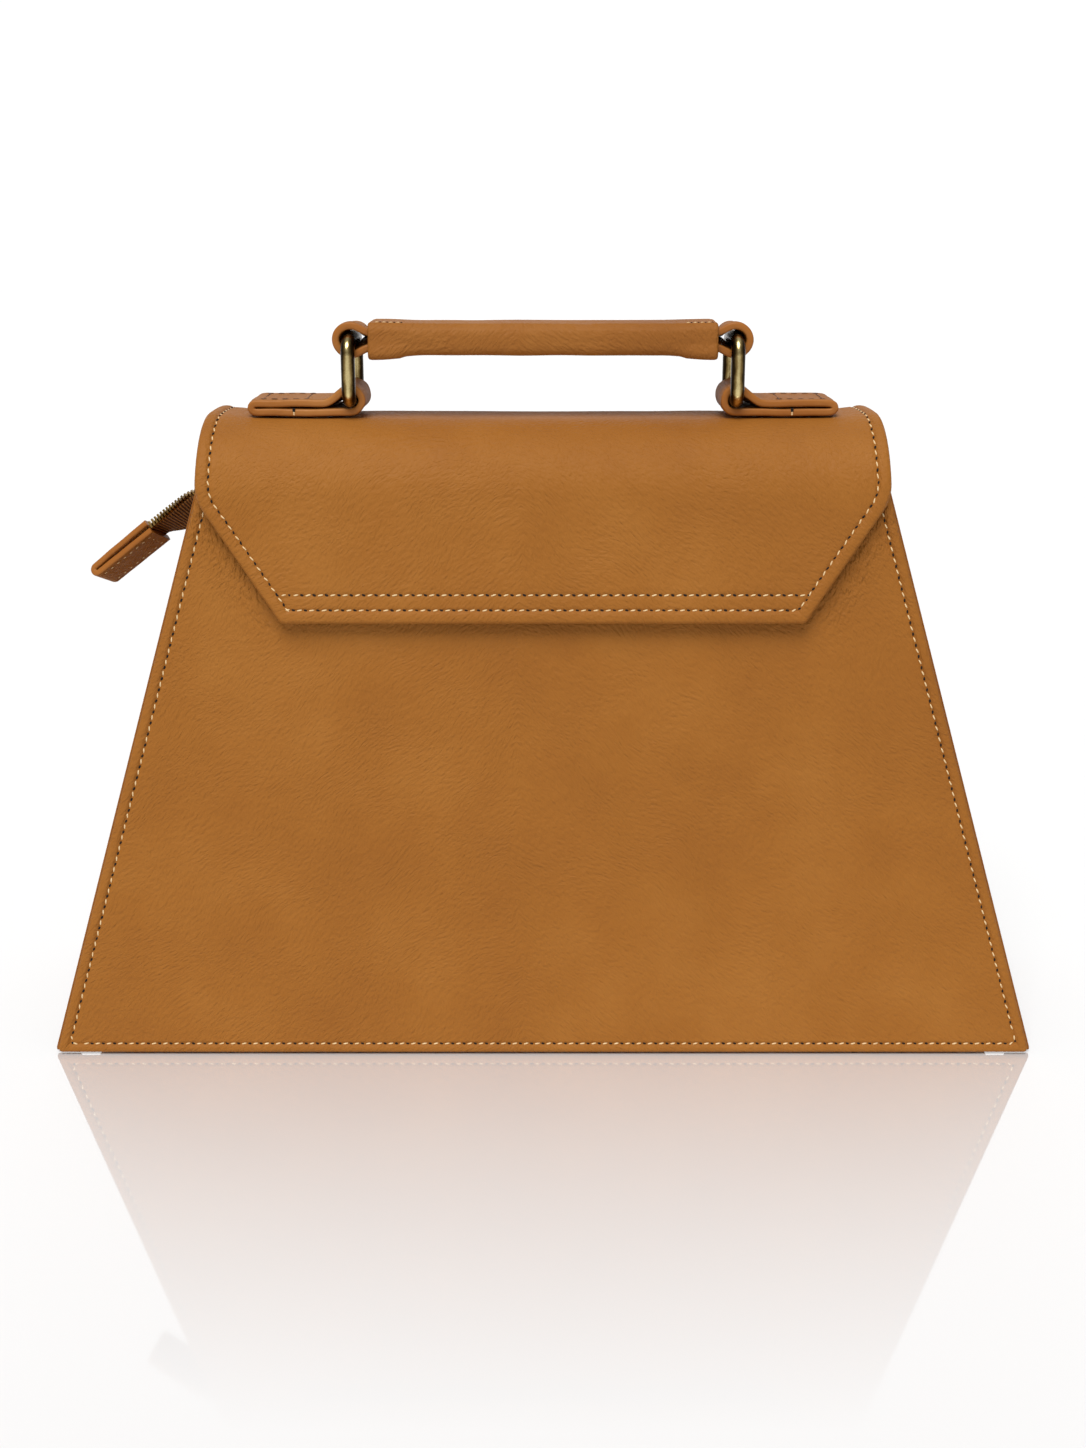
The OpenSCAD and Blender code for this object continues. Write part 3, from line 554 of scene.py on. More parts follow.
def turned_edge(past, seam, x, y):
    """How far the face drops past the seam: a rolled rim, a groove, then the field."""
    pucker = 0.1 * ripple(x / 1.9, y / 1.9, 4.4) * bell((past - 0.8) / 1.9)
    groove = 0.4 * bell(past / 0.55)
    if past > 0:
        return 0.34 + 0.12 * smooth(past / 1.5) + groove + pucker
    return 0.34 * (1 + 2 * past / seam) ** 2 + groove + pucker


def panel_face(x, z, inset):
    side = (half_width(z, REVEAL) - abs(x)) * math.cos(SLANT) - SIDE_SEAM
    foot = z - REVEAL - FOOT_SEAM
    past, seam = (side, SIDE_SEAM) if side < foot else (foot, FOOT_SEAM)
    slow = ripple(x / 55, z / 55, 3.1) + 0.4 * ripple(x / 17, z / 17, 7.7)
    return turned_edge(past, seam, x, z) + (0.2 + 0.22 * slow) * smooth((past - 1) / 14)


def on_panel(sign):
    return lambda x, z, n: (x, sign * half_depth(z, n), z)


def flap_pull(x, z):
    """1 where the panel is pulled along the flap's slanted edges, fading away from them."""
    start, end = Vector((97.6, FLAP_SIDE)), Vector((FLAP_LOW_X, FLAP_LOW))
    along = (end - start).normalized()
    offset = Vector((abs(x), z)) - start
    t = max(-6.0, min((end - start).length - 6, offset.dot(along)))
    return bell(max(0.0, (offset - along * t).length - 1) / 8)


for name, sign in FACES:
    points, faces = plate(panel_corners, (0, 80), lambda x, z: PANEL_T, panel_face,
                          on_panel(sign), 26)
    piece(f"{name}_panel_leather", points, faces, tan_nappa, "bag",
          (f"{name}_panel",), pulled=[flap_pull(p[0], p[2]) * (sign < 0) for p in points])
    print(name, "panel:", len(faces), "faces")

# %% [markdown]
# ## Gussets and base
# The gusset is one strip, folded outwards along both edges into flanges that are sewn
# behind the panels' rims. The base is folded the same way, downwards. Each is a sheet
# drawn as its folded section, row by row, with a real bend where the flange turns.

# %% The folded strips
BEND_R, FLANGE_STEPS, BEND_STEPS, WEB_STEPS = 1.6, 8, 5, 16
WALL = PANEL_T + GUSSET_T / 2      # from the panel's face to the middle of a flange
SIDE_REACH = RIM_W + GUSSET_T / 2  # from a flange's edge to the middle of the web


def folded(reach, half_span):
    """A channel's section: (distance from the flange's tip, across, share of web)."""
    half = [((reach - BEND_R) * k / FLANGE_STEPS, -half_span, 0.0) for k in range(FLANGE_STEPS)]
    for k in range(BEND_STEPS + 1):
        turn = math.pi / 2 * k / BEND_STEPS
        half.append((reach - BEND_R + BEND_R * math.sin(turn),
                     -half_span + BEND_R * (1 - math.cos(turn)), k / BEND_STEPS))
    flat = half_span - BEND_R
    half += [(reach, -flat + flat * k / WEB_STEPS, 1.0) for k in range(1, WEB_STEPS)]
    return half + [(reach, 0.0, 1.0)] + [(a, -b, w) for a, b, w in reversed(half)]


def gusset_rows(sign, count=64):
    rows, full = [], PANEL_H - REVEAL - 0.4
    webs = [web for _, _, web in folded(SIDE_REACH, 1.0)]
    for j in range(count + 1):
        row = []
        for k, web in enumerate(webs):
            top = full - (full - GUSSET_TOP) * smooth(web)
            z = BASE_TOP + (top - BASE_TOP) * j / count
            span = half_depth(z, WALL)
            a, b, _ = folded(SIDE_REACH, span)[k]
            bulge = (1.1 * web * (1 - (b / span) ** 2) * smooth((100 - z) / 60)
                     * smooth((z - 10) / 20))
            row.append((sign * (half_width(z, a) + bulge), b, z))
        rows.append(row)
    return rows


def foot_flange(sign, across, corner=1.6):
    """Below the base's height only the flange goes on, down to the rounded corner."""
    rows = []
    for j in range(9):
        z = REVEAL + 0.15 + (BASE_TOP - REVEAL - 0.15) * j / 8
        back = corner - math.sqrt(corner ** 2 - max(0.0, corner - z) ** 2)
        rows.append([(sign * half_width(z, max((SIDE_REACH - BEND_R) * k / FLANGE_STEPS, back)),
                      across * half_depth(z, WALL), z) for k in range(FLANGE_STEPS + 1)])
    return rows


for side, sign in SIDES:
    sheet(f"gusset_{side}_leather",
          [gusset_rows(sign), foot_flange(sign, -1), foot_flange(sign, 1)],
          GUSSET_T, edge_nappa, "bag", (f"gusset_{side}",))


def base_rows(count=160):
    """The base's flanges reach the floor except near the corners, where they run out."""
    rows, section = [], folded(FOOT_RIM + GUSSET_T / 2, half_depth(FOOT_RIM, WALL))
    for j in range(count + 1):
        row = []
        for a, b, web in section:
            x = (2 * j / count - 1) * half_width(a, RIM_W - 0.7)
            lift = 1.4 * smooth((abs(x) - (FOOT_W / 2 - 22)) / 5) * max(0.0, 1 - a / 4)
            y = b if web else math.copysign(half_depth(a + lift, WALL), b)
            row.append((x, y, a + lift))
        rows.append(row)
    return rows


sheet("base_leather", [base_rows()], GUSSET_T, edge_nappa, "bag",
      ("base_panel",))
print("gussets and base folded with a bend of", BEND_R, "mm")

# %% [markdown]
# ## The flap
# The flap is one hide from its root on the back panel, over the crest and down the
# front. It is drawn flat, as a pattern cutter would, and a function wraps the pattern
# round the bag: up the front slope, round two bends and down the back. At both ends of
# the crest, outside the tabs, the hide lifts by CREST_LIFT and the lining under it by
# LINING_LIFT, about half as much. The hem stands off the panel by HEM_LIFT. Skin and
# lining are joined to no body and stay where the shut flap puts them.

# %% Wrap a flat pattern round the bag
CREST_R, FLAP_OFF, CREST_Z = 22.0, 3.4, 185.2
CREST_LIFT, LINING_LIFT, LIFT_FROM_X, LIFT_REACH = 1.3, 0.6, 81, 20
HEM_LIFT, HEM_REACH, ROOT_L = 0.5, 14, 26.0
bend_z = CREST_Z - CREST_R
bend_y = half_depth(bend_z, -FLAP_OFF) - CREST_R / math.cos(LEAN)
s_bend = (bend_z + CREST_R * math.sin(LEAN) - FLAP_LOW) / math.cos(LEAN)
arc_length = CREST_R * (math.pi / 2 - LEAN)
s_top, s_back = s_bend + arc_length, s_bend + arc_length + 2 * bend_y
s_hinge = s_back + arc_length
s_end = s_hinge + ROOT_L
s_crest = (s_top + s_back) / 2


def wrap(x, s, n, lift=CREST_LIFT):
    """The place of pattern point x, s at depth n under the flap's outer face."""
    n -= lift * smooth((abs(x) - LIFT_FROM_X) / 12) * bell((s - s_crest) / LIFT_REACH)
    n -= HEM_LIFT * bell(s / HEM_REACH)
    r = CREST_R - n
    if s < s_bend:
        z = FLAP_LOW + s * math.cos(LEAN)
        return (x, -half_depth(z, n - FLAP_OFF), z)
    if s < s_top:
        turn = LEAN + (s - s_bend) / CREST_R
        return (x, -bend_y - r * math.cos(turn), bend_z + r * math.sin(turn))
    if s < s_back:
        return (x, s - s_top - bend_y, CREST_Z - n)
    if s < s_hinge:
        turn = math.pi / 2 - (s - s_back) / CREST_R
        return (x, bend_y + r * math.cos(turn), bend_z + r * math.sin(turn))
    z = bend_z + CREST_R * math.sin(LEAN) - (s - s_hinge) * math.cos(LEAN)
    return (x, half_depth(z, n - FLAP_OFF), z)


def wrap_out(x, s):
    return (Vector(wrap(x, s, -1)) - Vector(wrap(x, s, 0))).normalized()


FLAP_SEAM, SECOND_SEAM, SKIN_T, ROOT_MORE = 3.9, 8.2, 2.2, 1.15
SIDE_X, CREST_X, ROOT_X = 98.0, 96.4, 94.25   # half the flap's width, from front to root
s_side = (FLAP_SIDE - FLAP_LOW) / math.cos(LEAN)
flap_corners = [
    (-FLAP_LOW_X, 0, 2, 6, 120), (FLAP_LOW_X, 0, 2, 6, 44), (SIDE_X, s_side, 15, 14, 36),
    (CREST_X, s_crest, 0, 0, 60), (ROOT_X, s_end, 5, 8, 120), (-ROOT_X, s_end, 5, 8, 60),
    (-CREST_X, s_crest, 0, 0, 36), (-SIDE_X, s_side, 15, 14, 44)]


def flap_thickness(x, s):
    return SKIN_T + ROOT_MORE * smooth((s - s_hinge + 3) / 5)


def flap_face(x, s, inset):
    second = 0.3 * bell((s - SECOND_SEAM) / 0.55) * smooth((inset - FLAP_SEAM) / 1.5)
    slow = ripple(x / 48, s / 40, 1.3) + 0.45 * ripple(x / 15, s / 15, 5.2)
    sag = 0.25 * bell((s - s_crest) / 17) * smooth((46 - abs(x)) / 30)
    return (turned_edge(inset - FLAP_SEAM, FLAP_SEAM, x, s) + second + sag
            + (0.12 + 0.2 * slow) * smooth((inset - 9) / 12))


def flap_tension(x, s):
    left = bell((x + 66) / 17) * bell((s - 34) / 16)
    return 0.16 * left + 0.05 * bell((s - 14) / 10)


def spot_key(spot):
    return tuple(round(c, 4) for c in spot)


tension = {}


def wrapped(x, s, n):
    spot = wrap(x, s, n)
    tension[spot_key(spot)] = flap_tension(x, s)
    return spot


points, faces = plate(flap_corners, (0, s_crest - 4), flap_thickness, flap_face, wrapped, 30, 26)
flap_skin = piece("flap_leather", points, faces, tan_nappa, None,
                  ("flap_outer", "flap_back_strip"),
                  pulled=[tension.get(spot_key(p), 0.0) for p in points])
BLEND_START, BLEND_END = (0, 0.0300, 0.1645), (0, 0.0223, 0.1722)
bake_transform(flap_skin)

LINING_T, LINING_IN, s_lining = 0.78, 2.22, s_hinge - 0.9
lining_corners = [
    (-73.6, 1, 2, 4, 40), (73.6, 1, 2, 4, 20), (96.5, s_side, 8, 6, 20),
    (95.2, s_crest, 0, 0, 24), (93.2, s_lining, 1, 3, 40), (-93.2, s_lining, 1, 3, 24),
    (-95.2, s_crest, 0, 0, 20), (-96.5, s_side, 8, 6, 20)]
points, faces = plate(lining_corners, (0, s_crest - 8), lambda x, s: LINING_T,
                      lambda x, s, inset: 0.0,
                      lambda x, s, n: wrap(x, s, n + LINING_IN, LINING_LIFT), 24, 24)
lining_skin = piece("flap_lining_cloth", points, faces, lining, None,
                    ("flap_lining",))
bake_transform(lining_skin)
print(f"the flap's pattern is {s_end:.0f} mm long, with its hinge at {s_hinge:.0f} mm")

# %% [markdown]
# ## The zip inside the mouth
# The tape is two woven strips with a chain of metal teeth between them, sewn under two
# leather facings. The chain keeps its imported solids, which have the real teeth. The
# slider, its pull, the stops and the facings are copies of theirs with rounded edges,
# and the tape is built again, because cloth is never a flat board.

# %% Tape and facings
TAPE_IN, TAPE_W, TAPE_T, TAPE_LEFT = 3.0, 12.8, 0.6, -96.5


def tape_rows(sign):
    rows, start = [], half_width(163, 8.5)
    for j in range(121):
        x, row = start + (TAPE_LEFT - start) * j / 120, []
        for i in range(9):
            across = TAPE_IN + TAPE_W * i / 8
            row.append((x, sign * across, ZIP_MID + 0.12 * ripple(x / 14, across / 9, sign)))
        rows.append(row)
    return rows


for side, sign in FACES:
    sheet(f"zip_tape_{side}_cloth", [tape_rows(sign)], TAPE_T, zip_tape, "bag",
          (f"zip_tape_{side}",))
    softened(f"zip_facing_{side}", 0.4, tan_nappa)

# %% [markdown]
# Outside the bag the tape's two halves fold down on both sides of the chain, and the
# whole tail droops and rolls as it goes. A short frame runs along it: where the chain
# is, which way is up and which way is sideways. The halves and the teeth follow it.

# %% The tail's frame
TAIL_X, TAIL_DROP, TAIL_ROLL, TAIL_L = 103.356, math.radians(38.5), math.radians(62), 18.0
TAIL_BEND, ROLL_OVER, TAIL_FROM, SHUT_OVER = 5.0, 22, -7.5, 9.5


def tail_frame(s):
    """Place, outward direction, sideways and up at s mm past the tail's bend."""
    share = min(1.0, max(0.0, (s + TAIL_BEND) / (2 * TAIL_BEND)))
    drop = TAIL_DROP * share
    down = Vector((-math.cos(TAIL_DROP), 0, -math.sin(TAIL_DROP)))
    flat = Vector((-1, 0, 0))
    start = Vector((-TAIL_X, 0, ZIP_MID))
    if s <= -TAIL_BEND:
        spot = start + flat * s
    elif s >= TAIL_BEND:
        spot = start + down * s
    else:
        a, b = start - flat * TAIL_BEND, start + down * TAIL_BEND
        spot = a * (1 - share) ** 2 + start * 2 * share * (1 - share) + b * share ** 2
    ahead = Vector((-math.cos(drop), 0, -math.sin(drop)))
    up = Vector((-math.sin(drop), 0, math.cos(drop)))
    roll = TAIL_ROLL * min(1.0, max(0.0, (s + TAIL_BEND) / ROLL_OVER))
    across = Vector((0, 1, 0))
    return (spot, ahead, across * math.cos(roll) + up * math.sin(roll),
            up * math.cos(roll) - across * math.sin(roll))


def tail_half(sign):
    """One half of the tape, folding down beside the chain until it is nearly shut."""
    rows = []
    for j in range(49):
        s = TAIL_FROM + (TAIL_L + 12) * j / 48
        spot, _, across, up = tail_frame(s)
        shut, neck = smooth((s - TAIL_FROM) / SHUT_OVER), smooth((s - 9) / (TAIL_L - 9.5))
        root = 2.9 - 1.9 * smooth((s + 6) / 9) - 0.6 * neck
        start = spot + across * sign * root - up * (0.7 * shut)
        wide = TAPE_W - (2.4 + 0.9 * neck) * shut
        lean = math.radians(98) * shut - math.radians(6) * neck
        direction = across * sign * math.cos(lean) - up * math.sin(lean)
        out = across * sign * math.sin(lean) + up * math.cos(lean)
        row = []
        for i in range(11):
            wave = (0.25 * math.sin(s / 2.1 + i) * (i / 10) * (1 - neck)
                    * smooth((s + 3) / 6))
            row.append(tuple(start + direction * (wide * i / 10) + out * wave))
        rows.append(row)
    return rows


tail_cloth = sheet("tail_tape_cloth", [tail_half(-1), tail_half(1)], TAPE_T, zip_tape, None,
                   ("tail_tape",))
TAIL_START, TAIL_END = (-0.0985, 0, 0.1627), (-0.1085, 0, 0.1627)
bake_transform(tail_cloth)

# %% [markdown]
# ## Rows of stitches and teeth
# Sewing is the same small thing many times along a line, which is what Geometry Nodes
# are for. One tree turns a line into evenly spaced marks: it resamples the line by the
# pitch, turns each mark along the line and away from the surface, and makes them real.
# Thread, pricked hole and tooth are the same tree with other sizes; the hole is a near-black
# mark, painted shade.

# %% The tree for rows
def row_tree():
    tree = bpy.data.node_groups.new("Row of marks", "GeometryNodeTree")
    sizes = ("Pitch", "Shift", "Length", "Width", "Height", "Sink", "Slant", "Wobble")
    for way, kind, labels in (
            ("INPUT", "Geometry", ("Geometry",)), ("INPUT", "Float", sizes),
            ("INPUT", "Bool", ("Boxed",)), ("INPUT", "Int", ("Seed",)),
            ("INPUT", "Material", ("Material",)), ("OUTPUT", "Geometry", ("Geometry",))):
        for label in labels:
            tree.interface.new_socket(label, in_out=way, socket_type="NodeSocket" + kind)
    given = add(tree, "NodeGroupInput").outputs
    curve = add(tree, "GeometryNodeMeshToCurve", {}, {"Mesh": given["Geometry"]})
    spaced = add(tree, "GeometryNodeResampleCurve", {"mode": "LENGTH"},
                 {"Curve": curve.outputs[0], "Length": given["Pitch"]})
    tangent = add(tree, "GeometryNodeInputTangent").outputs[0]
    out = add(tree, "GeometryNodeInputNamedAttribute",
              {"data_type": "FLOAT_VECTOR", "Name": "out"}).outputs[0]
    along = add(tree, "FunctionNodeAlignRotationToVector", {"axis": "X"}, {"Vector": tangent})
    upright = add(tree, "FunctionNodeAlignRotationToVector", {"axis": "Z", "pivot_axis": "X"},
                  {"Rotation": along.outputs[0], "Vector": out})
    wobble = add(tree, "FunctionNodeRandomValue", {"data_type": "FLOAT", 2: -1.0, 3: 1.0},
                 {"Seed": given["Seed"]})
    lean = add(tree, "ShaderNodeMath", {"operation": "MULTIPLY_ADD"},
               {0: wobble.outputs[1], 1: given["Wobble"], 2: given["Slant"]})
    turn = add(tree, "ShaderNodeCombineXYZ", {}, {"Z": lean.outputs[0]})
    euler = add(tree, "FunctionNodeEulerToRotation", {}, {0: turn.outputs[0]})
    turned = add(tree, "FunctionNodeRotateRotation", {"rotation_space": "LOCAL"},
                 {"Rotation": upright.outputs[0], "Rotate By": euler.outputs[0]})
    ahead = add(tree, "ShaderNodeVectorMath", {"operation": "SCALE"},
                {0: tangent, "Scale": given["Shift"]})
    below = add(tree, "ShaderNodeVectorMath", {"operation": "SCALE"},
                {0: out, "Scale": given["Sink"]})
    offset = add(tree, "ShaderNodeVectorMath", {"operation": "SUBTRACT"},
                 {0: ahead.outputs[0], 1: below.outputs[0]})
    ball = add(tree, "GeometryNodeMeshUVSphere", {"Segments": 8, "Rings": 6, "Radius": 0.5})
    block = add(tree, "GeometryNodeMeshCube", {"Size": (1.0, 1.0, 1.0)})
    shape = add(tree, "GeometryNodeSwitch", {"input_type": "GEOMETRY"},
                {"Switch": given["Boxed"], "False": ball.outputs[0], "True": block.outputs[0]})
    size = add(tree, "ShaderNodeCombineXYZ", {},
               {"X": given["Length"], "Y": given["Width"], "Z": given["Height"]})
    sized = add(tree, "GeometryNodeTransform", {},
                {"Geometry": shape.outputs[0], "Scale": size.outputs[0]})
    moved = add(tree, "GeometryNodeSetPosition", {},
                {"Geometry": spaced.outputs[0], "Offset": offset.outputs[0]})
    placed = add(tree, "GeometryNodeInstanceOnPoints", {},
                 {"Points": moved.outputs[0], "Instance": sized.outputs[0],
                  "Rotation": turned.outputs[0]})
    real = add(tree, "GeometryNodeRealizeInstances", {}, {"Geometry": placed.outputs[0]})
    painted = add(tree, "GeometryNodeSetMaterial", {},
                  {"Geometry": real.outputs[0], "Material": given["Material"]})
    add(tree, "NodeGroupOutput", {}, {0: painted.outputs[0]})
    return tree


rows_of_marks = row_tree()


def marks(name, lines, material, body, sizes, boxed=False, blend=None):
    """lines: lists of (point, outward) in mm; sizes: the tree's inputs, in mm and degrees."""
    mesh = bpy.data.meshes.new(name)
    points = [Vector(p) * MM for line in lines for p, _ in line]
    edges, start = [], 0
    for line in lines:
        edges += [(start + i, start + i + 1) for i in range(len(line) - 1)]
        start += len(line)
    mesh.from_pydata(points, edges, [])
    outward = mesh.attributes.new("out", "FLOAT_VECTOR", "POINT")
    outward.data.foreach_set(
        "vector", [c for line in lines for _, n in line for c in Vector(n).normalized()])
    thing = link(name, mesh, material)
    modifier = thing.modifiers.new("Row", "NODES")
    modifier.node_group = rows_of_marks
    values = {"Slant": 0.0, "Wobble": 0.0, "Shift": 0.0, "Sink": 0.0, "Seed": 7,
              "Boxed": boxed, "Material": material, **sizes}
    for socket in rows_of_marks.interface.items_tree:
        if socket.in_out == "INPUT" and socket.name in values:
            value = values[socket.name]
            if socket.name in ("Slant", "Wobble"):
                value = math.radians(value)
            elif isinstance(value, float):
                value *= MM
            modifier[socket.identifier] = value
    applied(thing)
    thing.data.polygons.foreach_set("use_smooth", [not boxed] * len(thing.data.polygons))
    settle(thing, None if blend else body, ())
    if blend:
        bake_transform(thing)
    return thing


def sewn(name, lines, body, pitch=3.5, width=0.47, blend=None):
    """A row of sewing: slanting threads with a pricked hole between each two, a near-black mark
    of painted shade.
    """
    marks(name + "_threads", lines, cream_thread, body,
          {"Pitch": pitch, "Length": 0.48 * pitch, "Width": width, "Height": 0.5,
           "Sink": 0.02, "Slant": 13.0, "Wobble": 4.0}, blend=blend)
    marks(name + "_holes", lines, stitch_hole_shade, body,
          {"Pitch": pitch, "Shift": pitch / 2, "Length": 0.34 * pitch, "Width": 1.4 * width,
           "Height": 0.44, "Slant": -22.0}, blend=blend)


# %% [markdown]
# ## Sewing the panels and the flap
# The thread is waxed polyester at about 3.5 mm a stitch. Each line follows the bottom of
# the groove that was pressed into the leather above, so line and groove use one value.

# %% Sewing lines
def straight(a, b, spot, step=0.9):
    count = max(2, int((Vector(b) - Vector(a)).length / step))
    return [spot(*(Vector(a).lerp(Vector(b), k / count))) for k in range(count + 1)]


THREAD_DROP, seam_z, seam_top = 0.68, REVEAL + FOOT_SEAM, 166.0


def panel_spot(sign):
    out = (0, sign * math.cos(LEAN), math.sin(LEAN))
    return lambda x, z: ((x, sign * half_depth(z, THREAD_DROP), z), out)


low, high = (half_width(z, REVEAL + SIDE_SEAM) for z in (seam_z, seam_top))
turns = [(-high, seam_top), (-low, seam_z), (low, seam_z), (high, seam_top)]
for name, sign in FACES:
    line = []
    for a, b in zip(turns, turns[1:]):
        line += straight(a, b, panel_spot(sign))[1 if line else 0:]
    sewn(f"sewing_{name}", [line], "bag", pitch=3.35)


def flap_spot(x, s):
    return (wrap(x, s, flap_face(x, s, FLAP_SEAM) - 0.02), wrap_out(x, s))


seam = drawn_in(flap_corners, FLAP_SEAM)
edge_row = []
for a, b in zip(seam, seam[1:] + seam[:1]):
    edge_row += straight(a, b, flap_spot)[:-1] if (b - a).length > 0.9 else [flap_spot(*a)]
edge_row.append(edge_row[0])
second = [flap_spot(x / 2, SECOND_SEAM) for x in range(-154, 155)]
root = [(wrap(x, s_hinge + 5, 0.0), wrap_out(x, s_hinge + 5)) for x in range(-88, 89)]
sewn("sewing_flap", [edge_row, second, root], None,
     blend=("bag", "flap", BLEND_START, BLEND_END))
sewn("sewing_facings", [[((x, sign * 9.9, 164.2), (0, 0, 1)) for x in range(-86, 87)]
                        for _, sign in FACES], "bag")

# %% Teeth on the tail
TOOTH = {"Pitch": 1.1, "Length": 0.6, "Width": 1.4, "Height": 0.95}
TEETH_FROM, TEETH_TO, TEETH_APART = -6.5, 17.2, 0.45


def tail_line(sign, first):
    line = []
    for k in range(60):
        spot, _, across, up = tail_frame(first + (TEETH_TO - first) * k / 59)
        line.append((tuple(spot + across * sign * TEETH_APART), tuple(up)))
    return line


for side, sign in FACES:
    first = TEETH_FROM + (TOOTH["Pitch"] / 2 if side == "back" else 0)
    thing = marks(f"tail_teeth_{side}", [tail_line(sign, first)], antique_brass, "zip_tail",
                  TOOTH, boxed=True,
                  blend=("bag", "zip_tail", TAIL_START, TAIL_END))
    if sign < 0:
        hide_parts("tail_teeth")

# %% [markdown]
# ## Straps, tabs and rings
# The tabs and the handle's strap are one length of strap each, folded and looped round
# the rings, with burnished edges: the cut side is rounded, sealed and a little paler
# and glossier than the face. A section is swept along the strap's path, and slow noise
# lets the layers part and close a little, as folded leather does. The tabs that hold
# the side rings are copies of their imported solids, with rounded edges.

# %% Sweep a strap
RING_LOW, STRAP_W, STRAP_T, CUT_R, FACE_STEPS = 189.69, 19.5, 2.1, 0.6, 9
HANDLE_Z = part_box("handle_core")[0].z / MM + 0.9


def strap_section(width, thick):
    """Points round the section (sideways, outwards) and which of its sides are cut edges."""
    r, side, half, points = CUT_R, width / 2 - CUT_R, thick / 2 - CUT_R, []
    for cy, cn, first in ((side, half, 0), (-side, half, 90), (-side, -half, 180),
                          (side, -half, 270)):
        for k in range(4):
            turn = math.radians(first + 30 * k)
            points.append((cy + r * math.cos(turn), cn + r * math.sin(turn)))
        if first in (0, 180):
            away = -1 if first == 0 else 1
            points += [(cy + away * 2 * side * k / FACE_STEPS, cn + math.copysign(r, cn))
                       for k in range(1, FACE_STEPS)]
    following = points[1:] + points[:1]
    return points, [abs(p[0] + q[0]) / 2 > width / 2 - 0.4 * r
                    for p, q in zip(points, following)]


def directions(path, closed=True):
    result, count = [], len(path)
    for j in range(count):
        before, after = j - 1, (j + 1) % count
        if not closed:
            before, after = max(j - 1, 0), min(j + 1, count - 1)
        ahead = (Vector(path[after]) - Vector(path[before])).normalized()
        result.append(Vector((-ahead.y, ahead.x)))
    return result


def edged(name, points, faces, cut, body, replaced):
    """A strap with burnished edges on the sides of its section that were cut."""
    thing = piece(name, points, faces, strap_nappa, body, replaced, sharp=60)
    thing.data.materials.append(polished_edge)
    for face in thing.data.polygons:
        face.material_index = int(cut[face.index % len(cut)])
    return thing


def strap(name, path, rear, sign, body, replaced, wave=0.3):
    """Sweep the section along a path that closes up to the rear, where the loop is pinched."""
    section, cut = strap_section(STRAP_W, STRAP_T)
    loops = []
    for j, (front_out, rear_out) in enumerate(zip(directions(path), directions(rear))):
        loop = []
        for y, n in section:
            pinch = smooth((y + 7) / 11)
            spot = Vector(path[j]).lerp(Vector(rear[j]), pinch)
            out = front_out.lerp(rear_out, pinch).normalized()
            n += wave * ripple(spot.x / 9, y / 8, spot.y / 3 + sign)
            spot += out * n
            y *= 1 + 0.012 * ripple(spot.x / 6, spot.y / 4, sign)
            loop.append((sign * spot.x, y, spot.y))
        loops.append(loop)
    return edged(name, *tube(loops, "joined"), cut, body, replaced)


def arc_path(x, z, r, first, last, steps):
    turns = [math.radians(first + (last - first) * k / steps) for k in range(steps + 1)]
    return [(x + r * math.cos(t), z + r * math.sin(t)) for t in turns]


def spread(a, b, count):
    return [(a[0] + (b[0] - a[0]) * k / count, a[1] + (b[1] - a[1]) * k / count)
            for k in range(1, count)]


def eased(path, rounds=3):
    """Soften a closed path's kinks a little."""
    for _ in range(rounds):
        following = path[1:] + path[:1]
        path = [((path[i - 1][0] + 2 * p[0] + q[0]) / 4, (path[i - 1][1] + 2 * p[1] + q[1]) / 4)
                for i, (p, q) in enumerate(zip(path, following))]
    return path


# %% Tabs and the handle's strap
def tab_path(slope, low=CREST_Z + 1.07, high=CREST_Z + 3.65, fold_x=82.85):
    """Bottom layer, round the ring, down the slope in degrees, top layer and outer fold."""
    turn = arc_path(RING_X, RING_LOW, WIRE_R + 0.35 + STRAP_T / 2, 270, 90 - slope, 28)
    meet = (turn[-1][0] + (turn[-1][1] - high) / math.tan(math.radians(slope)), high)
    fold = arc_path(fold_x, (low + high) / 2, (high - low) / 2, 90, -90, 8)
    return eased(spread(fold[-1], turn[0], 28) + turn + spread(turn[-1], meet, 5) + [meet]
                 + spread(meet, fold[0], 28) + fold)


def handle_path(loop_r, slope, grip_x, apart=1.95):
    """Both layers through the grip and a loop at each end."""
    turn = arc_path(RING_X - 0.5, 0, loop_r, 90 + slope, -90 - slope, 34)
    right = ([(grip_x, apart)] + spread((grip_x, apart), turn[0], 6) + turn
             + spread(turn[-1], (grip_x, -apart), 6) + [(grip_x, -apart)])
    left = [(-x, -z) for x, z in right]
    whole = right + spread(right[-1], left[0], 50) + left + spread(left[-1], right[0], 50)
    return [(x, z + HANDLE_Z) for x, z in eased(whole)]


for side, sign in SIDES:
    strap(f"tab_{side}_strap", tab_path(38), tab_path(76), sign, "flap", (f"tab_{side}",))
strap("handle_strap_whole", handle_path(WIRE_R + 1.1 + STRAP_T / 2, 28, 49.7),
      handle_path(WIRE_R + 0.1 + STRAP_T / 2, 58, 51.5, 0.95), 1, "handle",
      ("handle_strap",), 0.14)

for node in ("side_tab_left", "side_tab_right"):
    softened(node, 0.4, strap_nappa, polished_edge, (0, 1, 0))
for node, rounding in (("zip_slider", 0.22), ("zip_pull", 0.3), ("zip_stops", 0.2)):
    softened(node, rounding, antique_brass)

# %% The tab on the tail's end
END_L, END_W, END_T, END_LIP = 23.0, 11.5, 1.9, 0.5
tail_spot, tail_ahead, tail_across, tail_up = tail_frame(TAIL_L)


def on_tail_end(ahead, across, up):
    return tuple(tail_spot + tail_ahead * ahead + tail_across * across + tail_up * up)


